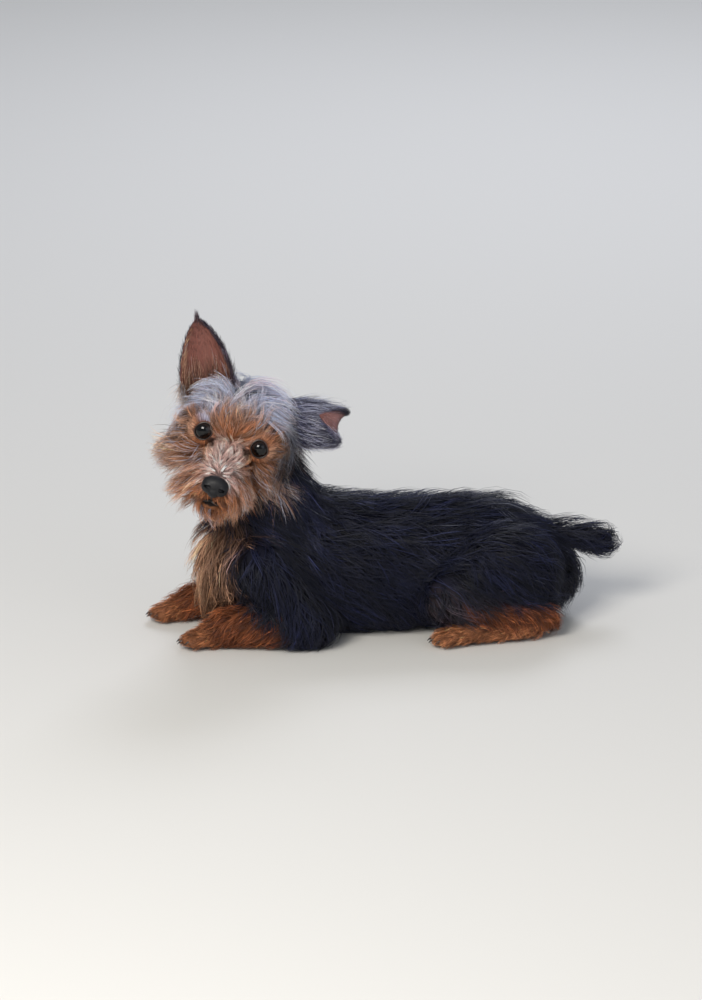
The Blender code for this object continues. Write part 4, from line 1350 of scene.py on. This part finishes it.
def coat_colours(root, owner, kind, pick, local, rings):
    """The coat's own strands, with brown locks in the crown, a painted blue sheen on the black, and
    painted shade before the left ear.
    """
    count = len(root)
    silver = by_kind(kind, SILVER_SHARE)
    base = markings(root, owner)
    brown = (kind == NUMBER["crown"]) & (guide_lock[pick] + rng.normal(0, 0.4, count) > 0.6)
    base[brown] = base[brown] * 0.35 + CROWN_BROWN * 0.65
    silver[brown] *= 0.4
    dark, pale = by_kind(kind, ROOT_SHADE, 0.4), by_kind(kind, PALE_TIP)
    colours = hair_colours(base, silver, dark, rings, guide_lock[pick], pale)
    black = base.sum(1) < BLACK_BELOW
    colours[black] *= np.exp(rng.normal(0.1, 0.38, (black.sum(), 1, 1)))
    # painted sheen: a random share of the blue tint on each black strand, more toward its tip
    painted_sheen = rng.random((count, 1, 1)) * black[:, None, None]
    colours += painted_sheen * PAINTED_BLUE_SHEEN * np.linspace(0.3, 1, rings)[None, :, None]
    # the hair before the left ear hangs in the ear's shade
    x, _, z = np.moveaxis(local, -1, 0)
    hollow = smooth(2.7, 3.7, x) * smooth(2.4, 1.0, z) * smooth(-2.8, -1.6, z)
    return colours * (1 - 0.7 * hollow * is_in(owner, "head")[:, None])[:, :, None]


# %% The hair's material
hair_material, tree, shader = new_material("silky terrier hair", 0.45, Specular_IOR_Level=0.3)
# straight glossy hair: its colour is on the strands, with a slight cool sheen at a low angle
colour = add_node(tree, "ShaderNodeVertexColor", layer_name="coat_colour")
tree.links.new(colour.outputs["Color"], shader.inputs["Base Color"])
shader.inputs["Sheen Weight"].default_value = 0.04
shader.inputs["Sheen Roughness"].default_value = 0.4
shader.inputs["Sheen Tint"].default_value = rgba("b9bde6")

# %% [markdown]
# ## Growing the coat
# Now the pieces come together, one region of the body at a time, so that no mesh gets too large to
# handle. Each strand finds its guide, follows it and waves about it. A strand that would cross an
# eye, the nose or the mouth is left out, and so is one that has curled up on itself.

# %% The path of each strand
SHED = 0.0  # the share of strands lost, as in moulting. A young dog's coat is full.
TIP_GAP = 0.035  # how far strands stay over the floor


def strand_paths(root, pick, rings):
    """The rings of each strand, with their side and up. pick is the number of its guide."""
    count = len(root)
    gathered = gather[pick] * rng.uniform(0.5, 1.3, count)
    t = np.linspace(0, 1, rings)
    reach = rng.uniform(0.65, 1.0, count)
    at = t[None] * reach[:, None] * STEPS
    low_step = np.minimum(at.astype(int), STEPS - 1)
    part = (at - low_step)[:, :, None]
    rows = np.arange(count)[:, None]
    guide_path, guide_up = path[pick], normals[pick]
    along = guide_path[rows, low_step] * (1 - part) + guide_path[rows, low_step + 1] * part
    up = guide_up[rows, low_step] * (1 - part) + guide_up[rows, low_step + 1] * part
    offset = root - guide_root[pick]
    drift = 1 - gathered[:, None, None] * t[None, :, None] ** 0.8
    centres = along + offset[:, None] * drift
    across, up = strand_axes(centres, up)
    phase = rng.uniform(0, math.tau, (count, 1))
    swing = np.sin(t[None] * rng.uniform(2.0, 6.0, (count, 1)) + phase) - np.sin(phase)
    rise = np.sin(t[None] * rng.uniform(2.0, 5.0, (count, 1)) - phase) + np.sin(phase)
    size = (wave[pick] * rng.uniform(0.3, 1.6, count))[:, None, None]
    centres += across * swing[:, :, None] * size + up * rise[:, :, None] * size * 0.6
    stray = rng.normal(0, 0.07, (count, 1, 1)) * length[pick][:, None, None]
    centres += across * stray * (t**1.5)[None, :, None]
    centres[:, 1:, 2] = np.maximum(centres[:, 1:, 2], TIP_GAP)
    return centres, across, up


# %% Growing a region
STRAIGHTNESS = 0.62  # from a strand's root to its tip, over its length. Less is too curled.


def grow(name, where, rings):
    """Strands over the triangles of a region. Returns the number of triangles made."""
    root, normal, spots = sample(np.where(where, density, 0) * STRAND_SHARE)
    owner = owners(root)
    kind = kinds_of(root, normal, owner)
    keep = (kind != NUMBER["none"]) & (rng.random(len(kind)) >= SHED)
    root, spots, owner, kind = (values[keep] for values in (root, spots, owner, kind))
    pick = np.array([tree_of_guides.find(place)[1] for place in root])
    centres, across, up = strand_paths(root, pick, rings)
    local = to_head(centres.reshape(-1, 3)).reshape(centres.shape)
    crosses = in_ovals(KEPT_CLEAR, *np.moveaxis(local, -1, 0)).any(1) & is_in(owner, "head")
    run = np.linalg.norm(np.diff(centres, axis=1), axis=2).sum(1)
    curled = np.linalg.norm(centres[:, -1] - centres[:, 0], axis=1) < STRAIGHTNESS * run
    keep = ~crosses & ~curled
    width = TABLE[kind, 2][:, None] * rng.uniform(0.6, 1.35, (len(root), 1)) * taper(rings)[None]
    colours = coat_colours(root, owner, kind, pick, local, rings)
    arrays = (centres, across, up, width, colours, spots)
    return strand_mesh(name, *(values[keep] for values in arrays), hair_material)


# %% All the regions


def is_kind(*names):
    return np.isin(tri_kind, [NUMBER[name] for name in names])


head_part = tri_owner == 0
short, low_head = is_kind("bridge", "face", "lip"), is_kind("moustache", "beard")
long_head, on_left = head_part & ~short & ~low_head, to_head(tri_middle)[:, 0] > 0
feet = is_kind("leg", "foot")
x, y, z = tri_middle.T
neck_part = tri_owner == 1
# each region's triangles, and the number of rings of its strands
regions = {
    "coat_head_face": (head_part & short, 5),
    "coat_head_beard": (head_part & low_head, 6),
    "coat_head_crown_left": (long_head & on_left, 6),
    "coat_head_crown_right": (long_head & ~on_left, 6),
    "coat_feet": (feet, 4),
    "coat_neck": (~head_part & ~feet & neck_part, 6),
}
for word, first, last in (("front", -math.inf, -4), ("flank", -4, 4), ("rump", 4, math.inf)):
    part = ~head_part & ~feet & ~neck_part & (x >= first) & (x < last)
    regions[f"coat_{word}_left"] = part & (y < 0), 6
    regions[f"coat_{word}_right"] = part & (y >= 0), 6
total = 0
for name, (where, rings) in regions.items():
    made = grow(name, where, rings)
    total += made
    print(name, made, "triangles")
print("coat:", total, "triangles")

# %% [markdown]
# ## Fur on the lids
# Short fur grows on the lids from their bare rim outward, over the edge of the skin, and hides the
# seam between them. It is laid out round the eye with the lids' own function, by angle and by how
# far out a hair stands.

# %% Places on the skin's map
NEARBY = 0.004  # how far a strand's patch may lie from its root's place, as a share of the map
tri_tree = KDTree(len(tri_middle))
for index in np.flatnonzero(tri_owner == 0):
    tri_tree.insert(tri_middle[index], int(index))
tri_tree.balance()


def spots_on_map(centres):
    """The place on the skin's map near the root of each strand."""
    roots = centres[:, 0]
    near = [tri_tree.find(place)[1] for place in roots]
    return tri_uv[near].mean(1) + rng.uniform(-NEARBY, NEARBY, (len(roots), 2))


# %% Fur on the lids
LID_HAIRS = 1500


def lid_hair(side, count):
    """The arrays of a lid's strands, for strand_mesh."""
    angle, out = rng.uniform(0, math.tau, count), rng.uniform(0.07, 0.3, count)
    start = on_lid(side, angle, out, 0.91 - 0.3 * out)
    away = on_lid(side, angle, out + 0.1, 0.9) - on_lid(side, angle, out, 0.9)
    away = unit(unit(away * (1, 0, 1)) + unit(start - FAN) * (0.5, 0, 0.5))
    reach = rng.uniform(0.3, 0.6, count) * np.where(np.sin(angle) > 0, 1.0, 0.8)
    t = np.linspace(0, 1, 5)[None, :, None]
    centres = start[:, None] + away[:, None] * reach[:, None, None] * t
    centres[:, :, 1:2] += (0.30 * t + 0.2 * t * t) * reach[:, None, None] - 0.06 * np.sin(t * 3)
    facing = unit(centres.reshape(-1, 3) - (side * EYE.x, 1.2, 0)).reshape(centres.shape)
    across, up = strand_axes(centres, facing)
    base = head_markings(start + away * 0.4)
    # the second is the share of painted shade at the roots
    silver, dark = np.full(count, 0.1), np.full(count, 0.3)
    tones = hair_colours(base, silver, dark, 5, rng.normal(0, 0.5, count))
    width = 0.024 * rng.uniform(0.6, 1.4, (count, 1)) * np.array((0.8, 1, 0.8, 0.5, 0))
    centres = turned(centres) + np.array(HEAD_PLACE)
    return centres, turned(across), turned(up), width, tones, spots_on_map(centres)


lid_parts = [lid_hair(side, int(LID_HAIRS * STRAND_SHARE)) for side in (-1, 1)]
joined = [np.concatenate(column) for column in zip(*lid_parts)]
made = strand_mesh("coat_head_lids", *joined, hair_material)
total += made
print("lids:", made, "triangles")

# %% [markdown]
# ## Hair on the ears
# The ears carry several kinds of hair: a short dense cover on the back of the leather, long strands
# that rise from inside the base, a fringe along the edges that runs past the tip, and on the left
# one the crown's hair that has fallen over it. Their roots and paths are laid out on the ear's
# sheet, in its own two numbers, and lifted off it.

# %% Strands on an ear


def ear_strands(which, count, start, step, lift, size, wave_size, rings=5):
    """start and step give (along, across) of the roots and of the paths, as arrays."""
    t = np.linspace(0, 1, rings)
    along = start[0][:, None] + step[0][:, None] * t
    across = start[1][:, None] + step[1][:, None] * t
    place, normal = on_ear(which, along.ravel(), across.ravel())
    place = place.reshape(count, rings, 3)
    normal = normal.reshape(count, rings, 3)
    centres = place + normal * (lift[:, None] * smooth(-0.1, 1.0, t)[None])[:, :, None]
    side, up = strand_axes(centres, normal)
    phase = rng.uniform(0, math.tau, (count, 1))
    swing = np.sin(t[None] * rng.uniform(1.5, 5, (count, 1)) + phase) - np.sin(phase)
    centres += side * (swing * wave_size * rng.uniform(0.3, 1.5, (count, 1)))[:, :, None]
    centres += up * (rng.normal(0, wave_size, (count, 1)) * t**1.5)[:, :, None]
    width = size * rng.uniform(0.6, 1.4, (count, 1)) * taper(rings)[None]
    return turned(centres) + np.array(HEAD_PLACE), turned(side), turned(up), width


def colour_between(first, second, count):
    return mix(linear(first)[None], linear(second)[None], rng.random(count))


# %% The ears' kinds of hair
EAR_HAIR = (
    # ear, count, roots along and across, run along, spread across,
    # lift, width, wave, darkest, lightest, silver share
    ("right", 2600, (0, 0.88), (-1, 1), (0.10, 0.20), 0.15,
     (-0.22, -0.04), 0.028, 0.03, "0e0d14", "3a3444", 0.05),  # cover on the back
    ("right", 500, (0.0, 0.85), (-1.0, -0.93), (0.08, 0.20), -0.25,
     (-0.1, 0.1), 0.020, 0.05, "8a5f45", "c7a184", 0.1),  # tan fringe on the inner edge
    ("right", 900, (0.0, 0.92), (0.9, 1.02), (0.12, 0.32), 0.35,
     (-0.15, 0.15), 0.026, 0.06, "15111a", "4a3f4b", 0.10),  # dark fringe on the outer edge
    ("right", 130, (0.84, 0.97), (-0.7, 0.9), (0.25, 0.55), 0.5,
     (-0.1, 0.12), 0.020, 0.07, "15111a", "5a4a50", 0.05),  # a few long hairs at the tip
    ("right", 330, (0.0, 0.25), (-0.95, 0.95), (0.12, 0.5), 0.4,
     (0.2, 0.8), 0.020, 0.14, "3f241c", "b08a74", 0.14),  # long strands inside the base
    ("right", 900, (0.1, 0.9), (-0.95, 0.95), (0.08, 0.16), 0.2,
     (0.03, 0.14), 0.018, 0.02, "44261e", "7d564c", 0.0),  # down inside
    ("left", 3000, (0, 0.88), (-1, 1), (0.12, 0.30), 0.15,
     (-0.42, -0.03), 0.028, 0.10, "12111f", "565a7c", 0.16),  # cover on the back
    ("left", 900, (0.0, 0.62), (0.9, 1.02), (0.16, 0.45), 0.30,
     (-0.2, 0.2), 0.030, 0.08, "100e15", "3f3a49", 0.12),  # fringe on one edge
    ("left", 900, (0.0, 0.62), (-1.02, -0.9), (0.16, 0.45), 0.40,
     (-0.2, 0.2), 0.026, 0.10, "1b1822", "7c7890", 0.3),  # fringe on the other edge
    ("left", 300, (0.7, 0.95), (-1, 1), (0.10, 0.25), 0.2,
     (-0.2, -0.05), 0.026, 0.05, "231c26", "6a5d69", 0.15),  # short cover behind the folded tip
    ("left", 700, (0.55, 0.92), (-0.9, 0.9), (0.06, 0.14), 0.2,
     (0.02, 0.12), 0.018, 0.02, "5f3f3e", "a1807e", 0.1),  # down on the folded tip
    ("left", 700, (0, 0.3), (-1, 1), (0.3, 0.75), 0.3,
     (-0.75, -0.2), 0.026, 0.22, "3a3846", "a9aac0", 0.25),  # crown hair over the back
    ("right", 520, (0.0, 0.3), (-1.05, -0.8), (-0.25, 0.02), 1.1,
     (-0.2, 0.5), 0.022, 0.16, "60453a", "e6cdbb", 0.3),  # pale tuft beside the base
    ("left", 260, (0.0, 0.35), (-1.0, -0.85), (0.02, 0.22), 1.0,
     (-0.3, 0.1), 0.022, 0.14, "15131c", "6b6472", 0.12),  # dark tuft beside the base
)

# %% Growing the ears' hair
meshes = {}
for which, count, along, across, run, spread, lift, size, waving, dark, light, silver in EAR_HAIR:
    count = int(count * STRAND_SHARE)
    start = rng.uniform(*along, count), rng.uniform(*across, count)
    sway = start[1] * spread * rng.uniform(0.4, 1.2, count) + rng.normal(0, 0.06, count)
    step = rng.uniform(*run, count) * (1 - 0.75 * start[0] ** 2), sway
    shape = ear_strands(which, count, start, step, rng.uniform(*lift, count), size, waving)
    base = colour_between(dark, light, count)
    lock = rng.normal(0, 1, count)
    # with a share of painted shade at the roots
    tones = hair_colours(base, np.full(count, silver), np.full(count, 0.35), 5, lock)
    meshes.setdefault(which, []).append((*shape, tones, spots_on_map(shape[0])))
for which, parts in meshes.items():
    joined = [np.concatenate(column) for column in zip(*parts)]
    made = strand_mesh(f"coat_head_ear_{which}", *joined, hair_material)
    total += made
    print("ear", which, made, "triangles")
print("whole coat:", total, "triangles")

# %% [markdown]
# ## A plain room
# A museum photographs its models on pale paper under large soft lamps. The camera stands where
# the photographer lay: a little above the dog, far off with a long lens, so that the head isn't
# stretched. The key light comes from the upper left, and a rim light from behind picks out the
# coat.

# %% The floor and the room's light
bm = bmesh.new()
bmesh.ops.create_grid(bm, x_segments=1, y_segments=1, size=6)
floor = object_of(bm, "paper_floor")
material, tree, shader = new_material("pale paper", 0.9, Specular_IOR_Level=0.1)
# matt paper on the studio floor
shader.inputs["Base Color"].default_value = rgba("d9d8d4")
floor.data.materials.append(material)

world = bpy.data.worlds.new("soft room")
bpy.context.scene.world = world
world.use_nodes = True
world.node_tree.nodes["Background"].inputs["Color"].default_value = rgba("dfe3ea")
world.node_tree.nodes["Background"].inputs["Strength"].default_value = 0.42

# %% Lamps
middle = (Vector(cad_low) + Vector(cad_high)) / 2


def lamp(name, place, power, size, colour="ffffff"):
    data = bpy.data.lights.new(name, "AREA")
    data.energy, data.size = power, size
    data.color = tuple(linear(colour))
    obj = bpy.data.objects.new(name, data)
    bpy.context.scene.collection.objects.link(obj)
    obj.location = middle + Vector(place)
    obj.rotation_euler = (-Vector(place)).to_track_quat("-Z", "Y").to_euler()


lamp("key", (-0.9, -1.3, 1.1), 32, 0.8, "fffaf2")
lamp("fill", (0.9, -1.6, 0.7), 5, 1.4, "f2f5ff")
lamp("rim", (0.5, 1.5, 1.3), 16, 0.8, "eef2ff")

# %% The camera
AZIMUTH, ELEVATION, DISTANCE = math.radians(-10), math.radians(18), 4.0
PIXELS_PER_CM = 15
right = Vector((math.cos(AZIMUTH), math.sin(AZIMUTH), 0))
level = Vector((math.sin(AZIMUTH), -math.cos(AZIMUTH), 0))
back = level * math.cos(ELEVATION) + Vector((0, 0, math.sin(ELEVATION)))
upward = back.cross(right)
# where the picture's middle lies from the layout's origin, in pixels
AIM_RIGHT, AIM_UP = 351 - 400, 622 - 500
aim = SHIFT + (right * AIM_RIGHT + upward * AIM_UP) / PIXELS_PER_CM * CM
data = bpy.data.cameras.new("camera")
# a long lens on a full-size sensor, both in millimetres
data.lens, data.sensor_width, data.sensor_fit = 216, 36, "AUTO"
data.clip_end = 50
camera = bpy.data.objects.new("camera", data)
bpy.context.scene.collection.objects.link(camera)
camera.matrix_world = Matrix.Translation(aim + back * DISTANCE) @ Matrix(
    (right, upward, back)
).transposed().to_4x4()
bpy.context.scene.camera = camera
bpy.context.scene.view_settings.view_transform = "Standard"
